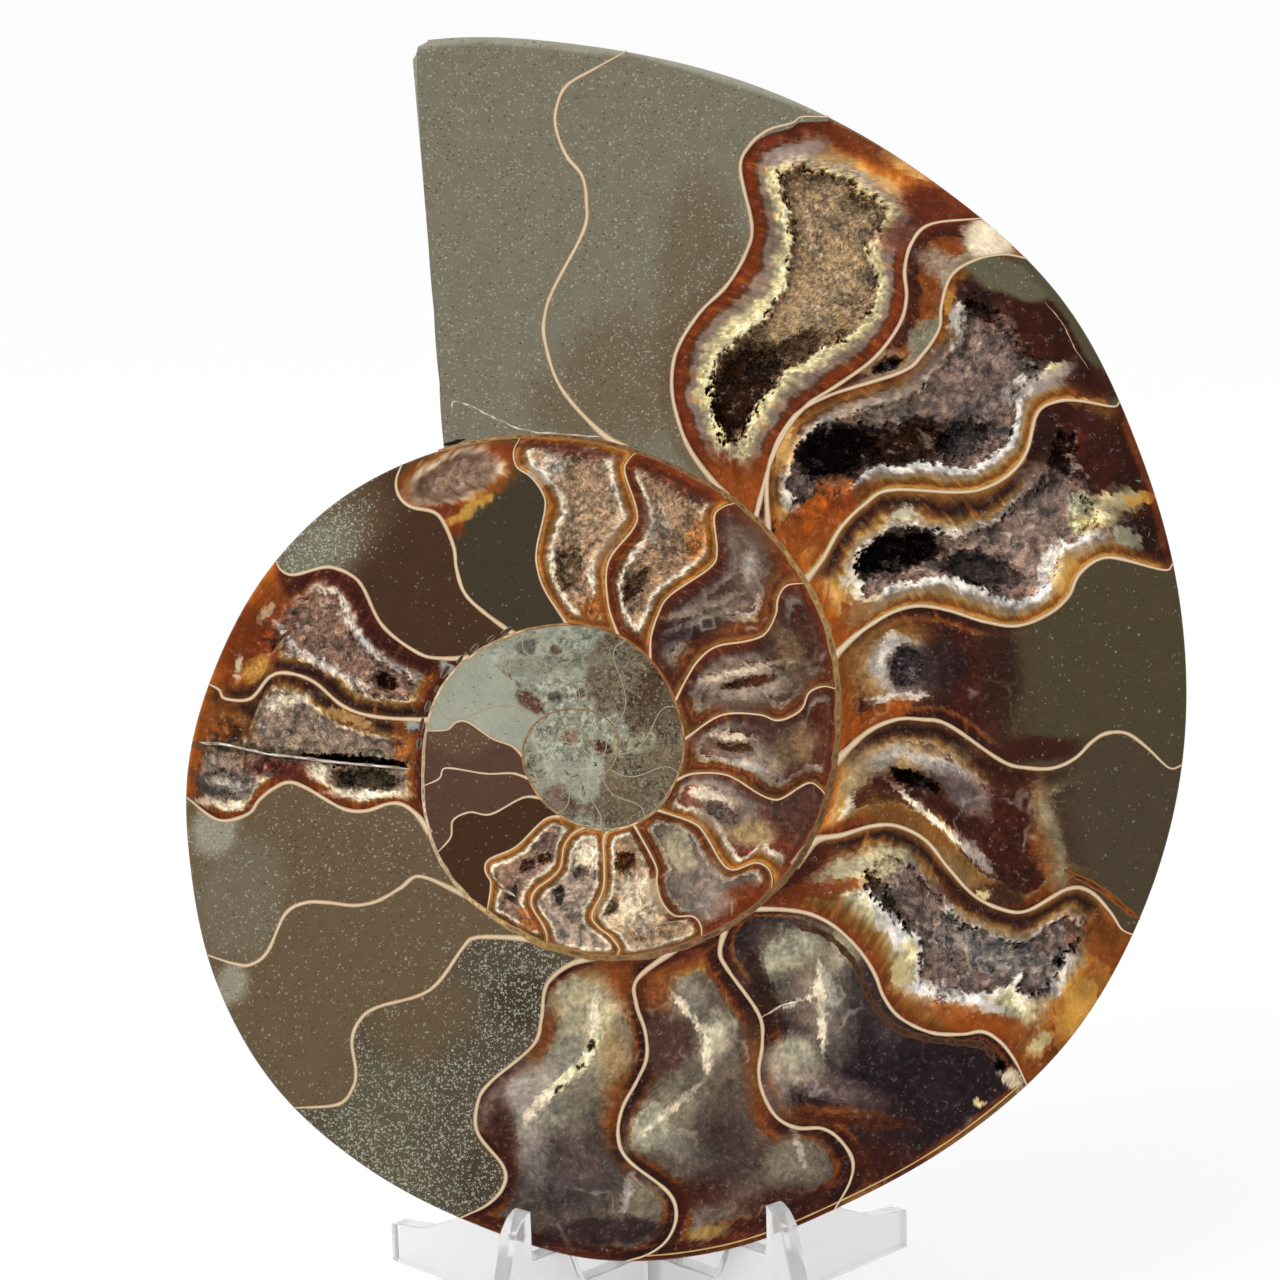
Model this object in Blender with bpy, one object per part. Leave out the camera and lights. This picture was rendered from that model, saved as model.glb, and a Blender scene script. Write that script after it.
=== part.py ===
"""Half of an ammonite, sawn through the middle of its coil, leaning in a stand of two slotted clear plates.

The fossil is drawn flat first: x to the right and z up on the sawn face, y into the stone, with its origin
at the centre of the coil. It is then turned and leaned back into the hooks of the stand.
Angles round the coil are clock angles: degrees clockwise from straight up, seen from the sawn side. They
count on from the mouth, so one whole turn further in adds 360.
"""

import math

import bmesh
import bpy
from mathutils import Matrix, Vector

MM = 0.001
GAP = 0.3 * MM  # left between pieces that touch

# Shell outline: radius of the outer edge in millimetres, every 15 degrees from the mouth inwards
MOUTH_CLOCK = -15.0
RADIUS_STEP = 15.0
SHELL_RADII = (
    103.9, 100.0, 96.9, 93.9, 91.8, 87.5, 84.4, 81.7, 78.9, 76.3, 72.9, 70.4,
    69.9, 68.8, 66.0, 64.4, 63.1, 60.8, 58.2, 56.6, 54.5, 53.0, 51.4, 49.3, 47.2,
)
GROWTH_RATE = 0.0023  # natural log of the radius gained per degree, past either end of the list

# Mouth: one straight saw cut, which passes this far from the centre of the coil
MOUTH_OFFSET = 17.07 * MM
MOUTH_FOOT_CLOCK = -94.8  # clock angle of the point where the cut passes closest
STEP_FOOT = 19.7 * MM  # radius where the broken edge of the last whorl runs out on the back

# Back of the shell
FULLNESS = 0.205  # thickest point of the half, as a share of the outer radius
FLANK_POWER = 2.4
FLANK_ROUND = 0.62
RIM_THICKNESS = 1.0 * MM
UMBILICUS = 0.17  # radius of the central pit as a share of the outer radius
UMBILICUS_SLOPE = 3.0 * MM  # width over which the pit's wall falls
TURNS = 3  # whorls seen down the pit

# Mesh of the shell
COLUMNS = 84
PIT_RINGS = (3.0 * MM, 6.0 * MM, 8.5 * MM, 11.0 * MM, 14.0 * MM, MOUTH_OFFSET, STEP_FOOT)
FLANK_RINGS = (0.04, 0.1, 0.2, 0.34, 0.5, 0.65, 0.78, 0.88, 0.95, 0.985, 1.0)

# Crystal hollows in the sawn face, in millimetres and degrees:
# x, z, half length, half width, clock angle of the long axis, depth
HOLLOWS = (
    (31.6, 70.9, 13.9, 7.0, -16.0, 8.0),
    (23.6, 54.2, 9.5, 5.0, 49.0, 8.0),
    (54.2, 54.2, 11.0, 5.6, 57.0, 6.0),
    (36.8, 44.5, 10.0, 4.8, 75.0, 8.0),
    (63.2, 32.0, 10.5, 5.0, 65.0, 5.5),
    (43.1, 28.5, 9.5, 4.5, 95.0, 8.0),
    (42.4, 12.9, 4.0, 3.4, 0.0, 5.0),
    (45.9, -4.9, 8.0, 2.6, 130.0, 6.0),
    (44.5, -22.9, 8.5, 3.6, 145.0, 6.5),
    (59.1, -29.2, 10.0, 5.0, 105.0, 4.5),
    (-34.0, -2.4, 8.0, 2.4, 95.0, 4.5),
    (-36.8, 17.4, 7.5, 4.0, 125.0, 4.0),
    (-2.4, 35.4, 6.5, 3.6, 10.0, 4.5),
    (9.0, 32.0, 5.5, 3.2, -10.0, 4.0),
    (-19.5, 39.3, 5.0, 2.6, 80.0, 3.5),
    (-10.4, -16.0, 3.5, 3.0, 0.0, 3.5),
    (4.9, -17.4, 4.0, 3.0, 0.0, 3.5),
    (20.2, -6.3, 4.0, 2.4, 125.0, 3.5),
    (40.4, 55.5, 2.2, 0.9, 70.0, 7.0),
    (25.4, -22.4, 2.4, 0.9, 95.0, 7.0),
)

# Old break across the last whorl: a gap between two points of the face, in millimetres
CRACK_START = Vector((-58.0, 0.0, 3.6)) * MM
CRACK_END = Vector((-25.7, 0.0, -0.6)) * MM
CRACK_WIDTH = 1.0 * MM
CRACK_DEPTH = 3.5 * MM

# How the fossil sits in the stand
LEAN = math.radians(12.0)
ROLL = math.radians(1.5)  # clockwise turn in its own plane, seen from the sawn side
SEAT_SIDE = 7.6 * MM  # how far right of the coil's centre the middle of the stand is
LOWEST_POINT = -68.9 * MM  # bottom of the outline, below the coil's centre
SAG = 1.25 * MM  # how far that bottom hangs between the two seats
RIM_LIFT = 2.9 * MM  # height above the lowest point where the rim meets the hooks

# Stand plates
PLATE_THICKNESS = 3.0 * MM
PLATE_TURN = math.radians(42.0)  # angle between a plate and the line of sight
HOOK_SPREAD = 17.3 * MM  # from the middle of the stand to a plate, at the back edge of its hook
SEAT_HEIGHT = 22.0 * MM
HOOK_HEIGHT = 7.3 * MM  # above the seat
HOOK_DEPTH = 3.3 * MM  # front to back, at the seat
HOOK_FRONT_SLOPE = 0.195  # how fast the hook's front edge falls forward
SEAT_LENGTH = 6.0 * MM
BAR_HEIGHT = 16.0 * MM
REST_FOOT = 23.0 * MM  # where the back rest starts, behind the hook
REST_TOP_DEPTH = 26.0 * MM
REST_TOP_HEIGHT = 66.0 * MM
REST_WIDTH = 7.0 * MM
HEEL_DEPTH = 62.0 * MM
HEEL_HEIGHT = 6.0 * MM
ARC_STEPS = 8


def shell_radius(clock):
    """Radius of the shell's outer edge at a clock angle, in metres."""
    place = (clock - MOUTH_CLOCK) / RADIUS_STEP
    last = len(SHELL_RADII) - 1
    if place <= 0.0:
        return SHELL_RADII[0] * MM * math.exp(-GROWTH_RATE * place * RADIUS_STEP)
    if place >= last:
        return SHELL_RADII[last] * MM * math.exp(-GROWTH_RATE * (place - last) * RADIUS_STEP)
    start = int(place)
    t = place - start
    before = SHELL_RADII[max(start - 1, 0)]
    a = SHELL_RADII[start]
    b = SHELL_RADII[start + 1]
    after = SHELL_RADII[min(start + 2, last)]
    bend = (2 * before - 5 * a + 4 * b - after) * t * t + (3 * a - before - 3 * b + after) * t**3
    return MM * (a + 0.5 * (t * (b - before) + bend))


def smooth_step(value):
    """Eases from 0 to 1 as value goes from 0 to 1."""
    value = min(max(value, 0.0), 1.0)
    return value * value * (3.0 - 2.0 * value)


def mouth_clock(radius):
    """Clock angle of the saw cut at the mouth, at a distance from the coil's centre."""
    if radius <= MOUTH_OFFSET:
        return MOUTH_FOOT_CLOCK
    return MOUTH_FOOT_CLOCK + math.degrees(math.acos(MOUTH_OFFSET / radius))


def whorl_depth(clock, radius):
    """Depth of one whorl's flank behind the sawn face."""
    outer = shell_radius(clock)
    share = min(radius / outer, 1.0)
    return FULLNESS * outer * (1.0 - share**FLANK_POWER) ** FLANK_ROUND + RIM_THICKNESS


def back_depth(clock, radius):
    """Depth of the back behind the sawn face: each whorl covers the one inside it as far as the pit."""
    depth = whorl_depth(clock + 360.0 * TURNS, radius)
    for turn in reversed(range(TURNS)):
        edge = UMBILICUS * shell_radius(clock + 360.0 * turn)
        cover = smooth_step((radius - edge) / UMBILICUS_SLOPE + 0.5)
        depth += cover * (whorl_depth(clock + 360.0 * turn, radius) - depth)
    return depth


def face_point(clock, radius, depth):
    """A point of the fossil from its clock angle, its distance from the coil's centre and its depth."""
    angle = math.radians(clock)
    return Vector((radius * math.sin(angle), depth, radius * math.cos(angle)))


def flank_place(turn_share, ring):
    """Clock angle and radius of a flank point: turn_share runs from the mouth round to the mouth again."""
    radius = STEP_FOOT
    for _ in range(12):
        clock = mouth_clock(radius) + 360.0 * turn_share
        radius = STEP_FOOT + ring * (shell_radius(clock) - STEP_FOOT)
    return clock, radius


def make_shell():
    """The half shell as one closed mesh: a flat sawn face, a domed back and the saw cut of the mouth."""
    mesh = bmesh.new()
    centre = mesh.verts.new((0.0, back_depth(0.0, 0.0), 0.0))
    pit = []
    for radius in PIT_RINGS:
        ring = []
        for column in range(COLUMNS):
            clock = mouth_clock(radius) + 360.0 * column / COLUMNS
            ring.append(mesh.verts.new(face_point(clock, radius, back_depth(clock, radius))))
        pit.append(ring)
    for column in range(COLUMNS):
        beside = (column + 1) % COLUMNS
        mesh.faces.new((centre, pit[0][beside], pit[0][column]))
        for inner, outer in zip(pit, pit[1:]):
            mesh.faces.new((inner[column], inner[beside], outer[beside], outer[column]))
    flank = [[pit[-1][column % COLUMNS]] for column in range(COLUMNS + 1)]
    rim = []
    for column in range(COLUMNS + 1):
        for ring in FLANK_RINGS:
            clock, radius = flank_place(column / COLUMNS, ring)
            flank[column].append(mesh.verts.new(face_point(clock, radius, back_depth(clock, radius))))
        rim.append(mesh.verts.new(face_point(clock, radius, 0.0)))
        flank[column].append(rim[-1])
    for left, right in zip(flank, flank[1:]):
        for step in range(len(left) - 1):
            mesh.faces.new((left[step], right[step], right[step + 1], left[step + 1]))
    mesh.faces.new(flank[0] + flank[-1][:0:-1])
    mesh.faces.new(list(reversed(rim)))
    bmesh.ops.triangulate(mesh, faces=mesh.faces[:])
    bmesh.ops.recalc_face_normals(mesh, faces=mesh.faces[:])
    return mesh


def hollow_cutter(number, place, cutters):
    """One egg-shaped cutter for a crystal hollow, half sunk in the sawn face."""
    x, z, half_length, half_width, clock, depth = place
    bpy.ops.mesh.primitive_ico_sphere_add(subdivisions=3, radius=1.0)
    cutter = bpy.context.object
    cutter.name = f"hollow_cutter_{number}"
    cutter.location = (x * MM, 0.0, z * MM)
    cutter.rotation_euler = (0.0, math.radians(clock), 0.0)
    cutter.scale = (half_width * MM, depth * MM, half_length * MM)
    keep_as_cutter(cutter, cutters)


def crack_cutter(cutters):
    """The narrow slab that opens the old break."""
    run = CRACK_END - CRACK_START
    bpy.ops.mesh.primitive_cube_add(size=1.0)
    cutter = bpy.context.object
    cutter.name = "crack_cutter"
    cutter.location = (CRACK_START + CRACK_END) / 2.0
    cutter.rotation_euler = (0.0, -math.atan2(run.z, run.x), 0.0)
    cutter.scale = (run.length, 2.0 * CRACK_DEPTH, CRACK_WIDTH)
    keep_as_cutter(cutter, cutters)


def keep_as_cutter(cutter, cutters):
    """Moves a cutter to its own collection, out of the render."""
    for owner in list(cutter.users_collection):
        owner.objects.unlink(cutter)
    cutters.objects.link(cutter)
    cutter.hide_render = True
    cutter.display_type = "WIRE"


def make_material(name, colour, roughness, transmission=0.0, ior=1.5):
    """A plain Principled material."""
    material = bpy.data.materials.new(name)
    material.use_nodes = True
    shader = material.node_tree.nodes["Principled BSDF"]
    shader.inputs["Base Color"].default_value = (*colour, 1.0)
    shader.inputs["Roughness"].default_value = roughness
    shader.inputs["Metallic"].default_value = 0.0
    shader.inputs["Transmission Weight"].default_value = transmission
    shader.inputs["IOR"].default_value = ior
    return material


def add_fossil(parts, cutters, seat):
    """The fossil half with its hollows and its old break, hung on the seat empty."""
    data = bpy.data.meshes.new("ammonite_half")
    shell = make_shell()
    shell.to_mesh(data)
    shell.free()
    data.shade_smooth()
    data.set_sharp_from_angle(angle=math.radians(35.0))
    fossil = bpy.data.objects.new("ammonite_half", data)
    parts.objects.link(fossil)
    for number, place in enumerate(HOLLOWS):
        hollow_cutter(number, place, cutters)
    crack_cutter(cutters)
    carve = fossil.modifiers.new("hollows", "BOOLEAN")
    carve.operation = "DIFFERENCE"
    carve.operand_type = "COLLECTION"
    carve.collection = cutters
    carve.solver = "EXACT"
    fossil.data.materials.append(make_material("fossil_stone", (0.22, 0.15, 0.09), 0.3))
    fossil.parent = seat
    for cutter in cutters.objects:
        cutter.parent = seat
    return fossil


def arc(centre, reach, start, end):
    """Points of an elliptical arc: reach is its half width and half height, and start and end are degrees."""
    points = []
    for step in range(ARC_STEPS + 1):
        angle = math.radians(start + (end - start) * step / ARC_STEPS)
        points.append((centre[0] + reach[0] * math.cos(angle), centre[1] + reach[1] * math.sin(angle)))
    return points


def plate_outline(slot_from_top):
    """Outline of a stand plate as (depth, height) pairs, with depth measured straight back from its hook."""
    hook_top = SEAT_HEIGHT + HOOK_HEIGHT
    hook_face = hook_top - 0.36 * HOOK_HEIGHT
    crossing = HOOK_SPREAD / math.tan(PLATE_TURN)
    across = math.sin(2.0 * PLATE_TURN)
    slot_width = PLATE_THICKNESS * (1.0 + math.cos(2.0 * PLATE_TURN)) / across + 2.0 * GAP
    slot_half = slot_width * math.cos(PLATE_TURN) / 2.0
    slot = (crossing - slot_half, crossing + slot_half)
    middle = BAR_HEIGHT / 2.0
    toe = -HOOK_DEPTH - HOOK_FRONT_SLOPE * SEAT_HEIGHT
    hook_front = -HOOK_DEPTH + HOOK_FRONT_SLOPE * (hook_face - SEAT_HEIGHT)
    points = [
        (toe, 0.0),
        (hook_front, hook_face),
        (0.6 * hook_front, hook_top - 0.13 * HOOK_HEIGHT),
        (0.25 * hook_front, hook_top - 0.03 * HOOK_HEIGHT),
        (0.0, hook_top),
        (0.0, SEAT_HEIGHT),
        (SEAT_LENGTH, SEAT_HEIGHT),
        (SEAT_LENGTH + 2.0 * MM, BAR_HEIGHT),
    ]
    if slot_from_top:
        cut = middle - GAP / 2.0
        points += [(slot[0], BAR_HEIGHT), (slot[0], cut), (slot[1], cut), (slot[1], BAR_HEIGHT)]
    rest_back = REST_TOP_DEPTH + REST_WIDTH
    tip = (REST_TOP_DEPTH + REST_WIDTH / 2.0, REST_TOP_HEIGHT - REST_WIDTH / 2.0)
    points += [(REST_FOOT, BAR_HEIGHT)]
    points += arc(tip, (-REST_WIDTH / 2.0, REST_WIDTH / 2.0), 0.0, 180.0)
    points += arc((HEEL_DEPTH, tip[1]), (rest_back - HEEL_DEPTH, HEEL_HEIGHT - tip[1]), 0.0, 90.0)[1:]
    points += [(HEEL_DEPTH, 0.0)]
    if not slot_from_top:
        cut = middle + GAP / 2.0
        points += [(slot[1], 0.0), (slot[1], cut), (slot[0], cut), (slot[0], 0.0)]
    return points


def add_plate(name, side, slot_from_top, material, parts):
    """One clear plate: a flat outline with its thickness, stood up and turned in towards the back."""
    curve = bpy.data.curves.new(name, "CURVE")
    curve.dimensions = "2D"
    curve.fill_mode = "BOTH"
    curve.extrude = PLATE_THICKNESS / 2.0
    points = plate_outline(slot_from_top)
    spline = curve.splines.new("POLY")
    spline.points.add(len(points) - 1)
    for point, (depth, height) in zip(spline.points, points):
        point.co = (depth / math.cos(PLATE_TURN), height, 0.0, 1.0)
    spline.use_cyclic_u = True
    curve.materials.append(material)
    plate = bpy.data.objects.new(name, curve)
    parts.objects.link(plate)
    plate.location = (side * HOOK_SPREAD, 0.0, 0.0)
    plate.rotation_euler = (math.radians(90.0), 0.0, math.radians(90.0) + side * PLATE_TURN)
    return plate


def stand_on_origin(root, objects):
    """Moves the root empty so that the middle of the whole part's box, at its foot, is on the origin."""
    bpy.context.view_layer.update()
    graph = bpy.context.evaluated_depsgraph_get()
    low = Vector((math.inf,) * 3)
    high = -low
    for item in objects:
        shown = item.evaluated_get(graph)
        mesh = shown.to_mesh()
        for vertex in mesh.vertices:
            place = shown.matrix_world @ vertex.co
            low = Vector(map(min, low, place))
            high = Vector(map(max, high, place))
        shown.to_mesh_clear()
    middle = (low + high) / 2.0
    root.location -= Vector((middle.x, middle.y, low.z))
    bpy.context.view_layer.update()


def main():
    """Builds the fossil and its stand."""
    for item in list(bpy.data.objects):
        bpy.data.objects.remove(item, do_unlink=True)
    scene = bpy.context.scene.collection
    parts = bpy.data.collections.new("ammonite_half_on_stand")
    cutters = bpy.data.collections.new("cutters")
    scene.children.link(parts)
    scene.children.link(cutters)

    root = bpy.data.objects.new("foot_of_part", None)
    seat = bpy.data.objects.new("leaning_seat", None)
    parts.objects.link(root)
    parts.objects.link(seat)
    seat.parent = root
    turned = Matrix.Rotation(-LEAN, 4, "X") @ Matrix.Rotation(ROLL, 4, "Y")
    sole = turned @ Vector((SEAT_SIDE, 0.0, LOWEST_POINT))
    hook_corner = PLATE_THICKNESS / 2.0 * math.sin(PLATE_TURN)
    seat_depth = hook_corner + GAP - RIM_LIFT * math.tan(LEAN)
    seat_point = Vector((0.0, seat_depth, SEAT_HEIGHT + GAP - SAG))
    seat.matrix_local = Matrix.Translation(seat_point - sole) @ turned

    fossil = add_fossil(parts, cutters, seat)
    acrylic = make_material("clear_acrylic", (0.95, 0.98, 0.99), 0.05, transmission=1.0, ior=1.49)
    left = add_plate("stand_plate_left", -1.0, True, acrylic, parts)
    right = add_plate("stand_plate_right", 1.0, False, acrylic, parts)
    left.parent = root
    right.parent = root
    stand_on_origin(root, (fossil, left, right))


main()
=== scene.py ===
import logging
import math
from dataclasses import dataclass, replace
from enum import Enum

import bmesh
import bpy
import numpy as np
from bpy.types import ID, Material, NodeSocket, Object
from mathutils import Matrix, Vector
from numpy import ndarray


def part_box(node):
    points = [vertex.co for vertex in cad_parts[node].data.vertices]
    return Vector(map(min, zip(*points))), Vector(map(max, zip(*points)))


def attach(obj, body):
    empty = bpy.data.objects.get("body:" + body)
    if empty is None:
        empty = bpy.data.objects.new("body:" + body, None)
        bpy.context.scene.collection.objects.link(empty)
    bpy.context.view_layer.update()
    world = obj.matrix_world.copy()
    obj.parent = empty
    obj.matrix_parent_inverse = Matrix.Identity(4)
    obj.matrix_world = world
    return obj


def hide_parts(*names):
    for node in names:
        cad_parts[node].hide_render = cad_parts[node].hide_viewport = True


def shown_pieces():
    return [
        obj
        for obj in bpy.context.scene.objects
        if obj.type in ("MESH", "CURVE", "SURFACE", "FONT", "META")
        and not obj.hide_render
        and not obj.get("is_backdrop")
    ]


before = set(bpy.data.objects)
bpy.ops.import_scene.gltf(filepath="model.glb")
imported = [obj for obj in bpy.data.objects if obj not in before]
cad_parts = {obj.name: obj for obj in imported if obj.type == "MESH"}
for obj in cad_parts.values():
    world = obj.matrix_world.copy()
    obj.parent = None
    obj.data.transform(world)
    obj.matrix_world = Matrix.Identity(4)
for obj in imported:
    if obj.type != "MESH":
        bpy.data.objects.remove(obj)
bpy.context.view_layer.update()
LOG = logging.getLogger("ammonite")

# The fossil lies flat while it is drawn: x right and z up across the sawn face, y into the stone, in
# millimetres from the coil's centre. Clock angles are degrees clockwise from up, and add 360 for each
# turn further in. Meshes are in metres. Drawn points are written as x and z in turn.
MM = 0.001
TURN = 360.0
FOSSIL = "ammonite_half"
PLATES = ("stand_plate_left", "stand_plate_right")

# How the fossil sits in the stand
LEAN = math.radians(12.0)
ROLL = math.radians(1.5)

# The coil: distance of the shell's outer edge from the centre, every 15 degrees from the mouth inwards
MOUTH_CLOCK = -15.0
RADIUS_STEP = 15.0
GROWTH_RATE = 0.0023
SHELL_RADII = (
    103.9, 100.0, 96.9, 93.9, 91.8, 87.5, 84.4, 81.7, 78.9, 76.3, 72.9, 70.4, 69.9, 68.8, 66.0, 64.4,
    63.1, 60.8, 58.2, 56.6, 54.5, 53.0, 51.4, 49.3, 47.2, 45.2, 42.9, 41.3, 39.3, 37.4, 35.0, 33.3,
    32.1, 30.8, 29.5, 28.3, 27.4, 26.7, 26.0, 25.4, 25.5, 25.2, 24.5, 23.9, 24.0, 23.8, 22.6, 21.3,
    20.2, 19.2, 17.8, 16.3, 14.8, 13.6, 12.8, 12.0, 11.2, 10.7, 10.2, 9.7, 9.3, 8.9, 8.6, 8.5, 8.6,
    8.9, 9.3, 9.9, 10.3, 10.2, 9.7, 8.9, 8.0, 7.4, 6.6, 5.7, 4.6, 3.6, 2.9, 2.4, 2.1, 1.9, 1.8,
)

# The saw cut at the mouth, and where the mouth meets the second whorl
MOUTH_OFFSET = 17.07
MOUTH_FOOT_CLOCK = -94.8
CORNER_CHIP = 1.3
CHIP_REACH = (101.2, 103.6)
STEP_FOOT = 19.7
CREASE_CLOCK = 334.5
INNER_CLOCK = 675.0
LAST_OUTER = 18
LAST_SEPTUM = 32

# The back of the shell
FULLNESS = 0.205
FLANK_POWER = 2.4
FLANK_ROUND = 0.62
RIM_THICKNESS = 1.0
COVERED_TURNS = 3
UMBILICUS = 0.17
UMBILICUS_SLOPE = 3.0

# The septa's cut edges: half their widths, and how much wider their feet are
OUTER_HALF = 0.29
INNER_HALF = 0.16
FLARE = 0.8
FLARE_WIDE = 1.6
FLARED = range(5, 9)

# The worn edge round the face, painted paler there as a painted sheen: its least width, how much wider it is
# at the top, and where that is
BEVEL = 0.25
BEVEL_TOP = 1.1
BEVEL_CLOCK = 11.0
BEVEL_SPREAD = 9.0

# Distance between neighbouring points of a chamber's sheet
MUD_SPACING = 0.55
OUTER_SPACING = 0.245
INNER_SPACING = 0.21


class Tone(Enum):
    """Colours of the stone as sRGB values, named as a polisher would name them."""

    AMBER = (178, 98, 32)
    ASH = (150, 138, 128)
    BARK = (98, 82, 70)
    BLACK = (20, 11, 9)
    BOG = (64, 56, 42)
    BRICK = (144, 70, 22)
    BROWN_MUD = (112, 96, 76)
    CHALK = (198, 188, 176)
    CLAY = (82, 46, 34)
    COCOA = (70, 48, 32)
    COCOA_BROWN = (69, 44, 27)
    COPPER = (138, 74, 26)
    CREAM = (234, 214, 182)
    DEEP = (38, 18, 13)
    DUST = (146, 127, 110)
    FAWN = (152, 124, 84)
    FROST = (178, 177, 160)
    GOLD = (196, 146, 66)
    GOLD_OLIVE = (158, 128, 66)
    GRAPE = (92, 62, 48)
    HONEY = (188, 132, 58)
    LAVENDER = (164, 142, 132)
    LICHEN = (136, 130, 112)
    LINEN = (170, 158, 124)
    MAROON = (78, 34, 22)
    MAROON_PINK = (110, 64, 48)
    MAROON_RED = (98, 42, 24)
    MAUVE = (108, 90, 82)
    MOSS = (82, 80, 58)
    MOSS_GREY = (120, 118, 98)
    MUD = (121, 115, 97)
    MUD_OLIVE = (98, 94, 72)
    MUD_WARM = (104, 84, 62)
    OAT = (226, 212, 170)
    OLIVE = (76, 66, 46)
    OLIVE_BROWN = (84, 75, 59)
    OLIVE_DARK = (74, 63, 47)
    PALE_BLUE = (158, 166, 156)
    PALE_GOLD = (228, 206, 146)
    PALE_MUD = (160, 161, 142)
    PALE_YELLOW = (206, 192, 142)
    PEACH = (212, 162, 98)
    PIT = (26, 18, 14)
    PIT_BROWN = (58, 36, 24)
    PLUM = (70, 46, 38)
    PLUM_BLACK = (34, 22, 24)
    PLUM_DARK = (42, 26, 27)
    PLUM_MUD = (90, 62, 50)
    PLUM_PINK = (124, 96, 80)
    PUTTY = (130, 111, 94)
    QUARTZ = (216, 208, 200)
    RUST = (112, 48, 18)
    SAGE = (174, 168, 140)
    SHALE = (128, 102, 84)
    SILT = (104, 86, 64)
    SLATE = (116, 106, 88)
    SMOKE = (134, 112, 100)
    SOOT = (62, 53, 52)
    STRAW = (200, 180, 128)
    SUGAR = (146, 122, 92)
    SUGAR_DARK = (112, 90, 66)
    SUGAR_MID = (138, 110, 84)
    SUGAR_TAN = (152, 124, 96)
    TAN = (178, 144, 108)
    TAN_PINK = (150, 120, 96)
    TEAK = (128, 86, 38)
    TOFFEE = (118, 60, 22)
    UMBER = (80, 48, 27)
    UMBER_GREY = (90, 68, 50)
    WINE = (54, 22, 14)

    @property
    def paint(self) -> ndarray:
        """The colour as three display values from 0 to 1."""
        return np.array(self.value) / 255.0

    @property
    def light(self) -> tuple[float, float, float, float]:
        """The colour as the linear values that a shader's socket takes."""
        return (*linear(self.paint), 1.0)


class Side(Enum):
    """The border of a chamber that a band lies along."""

    BEFORE = "before"
    AFTER = "after"
    WALL = "wall"
    RIM = "rim"


class Finish(Enum):
    """The materials, by their names in Blender."""

    STONE = "polished_stone"
    LINES = "shell_lines"
    SHELL = "outer_shell"
    ACRYLIC = "polished_acrylic"

    @property
    def material(self) -> Material:
        """The material, once its finish has been made."""
        return bpy.data.materials[self.value]


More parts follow.
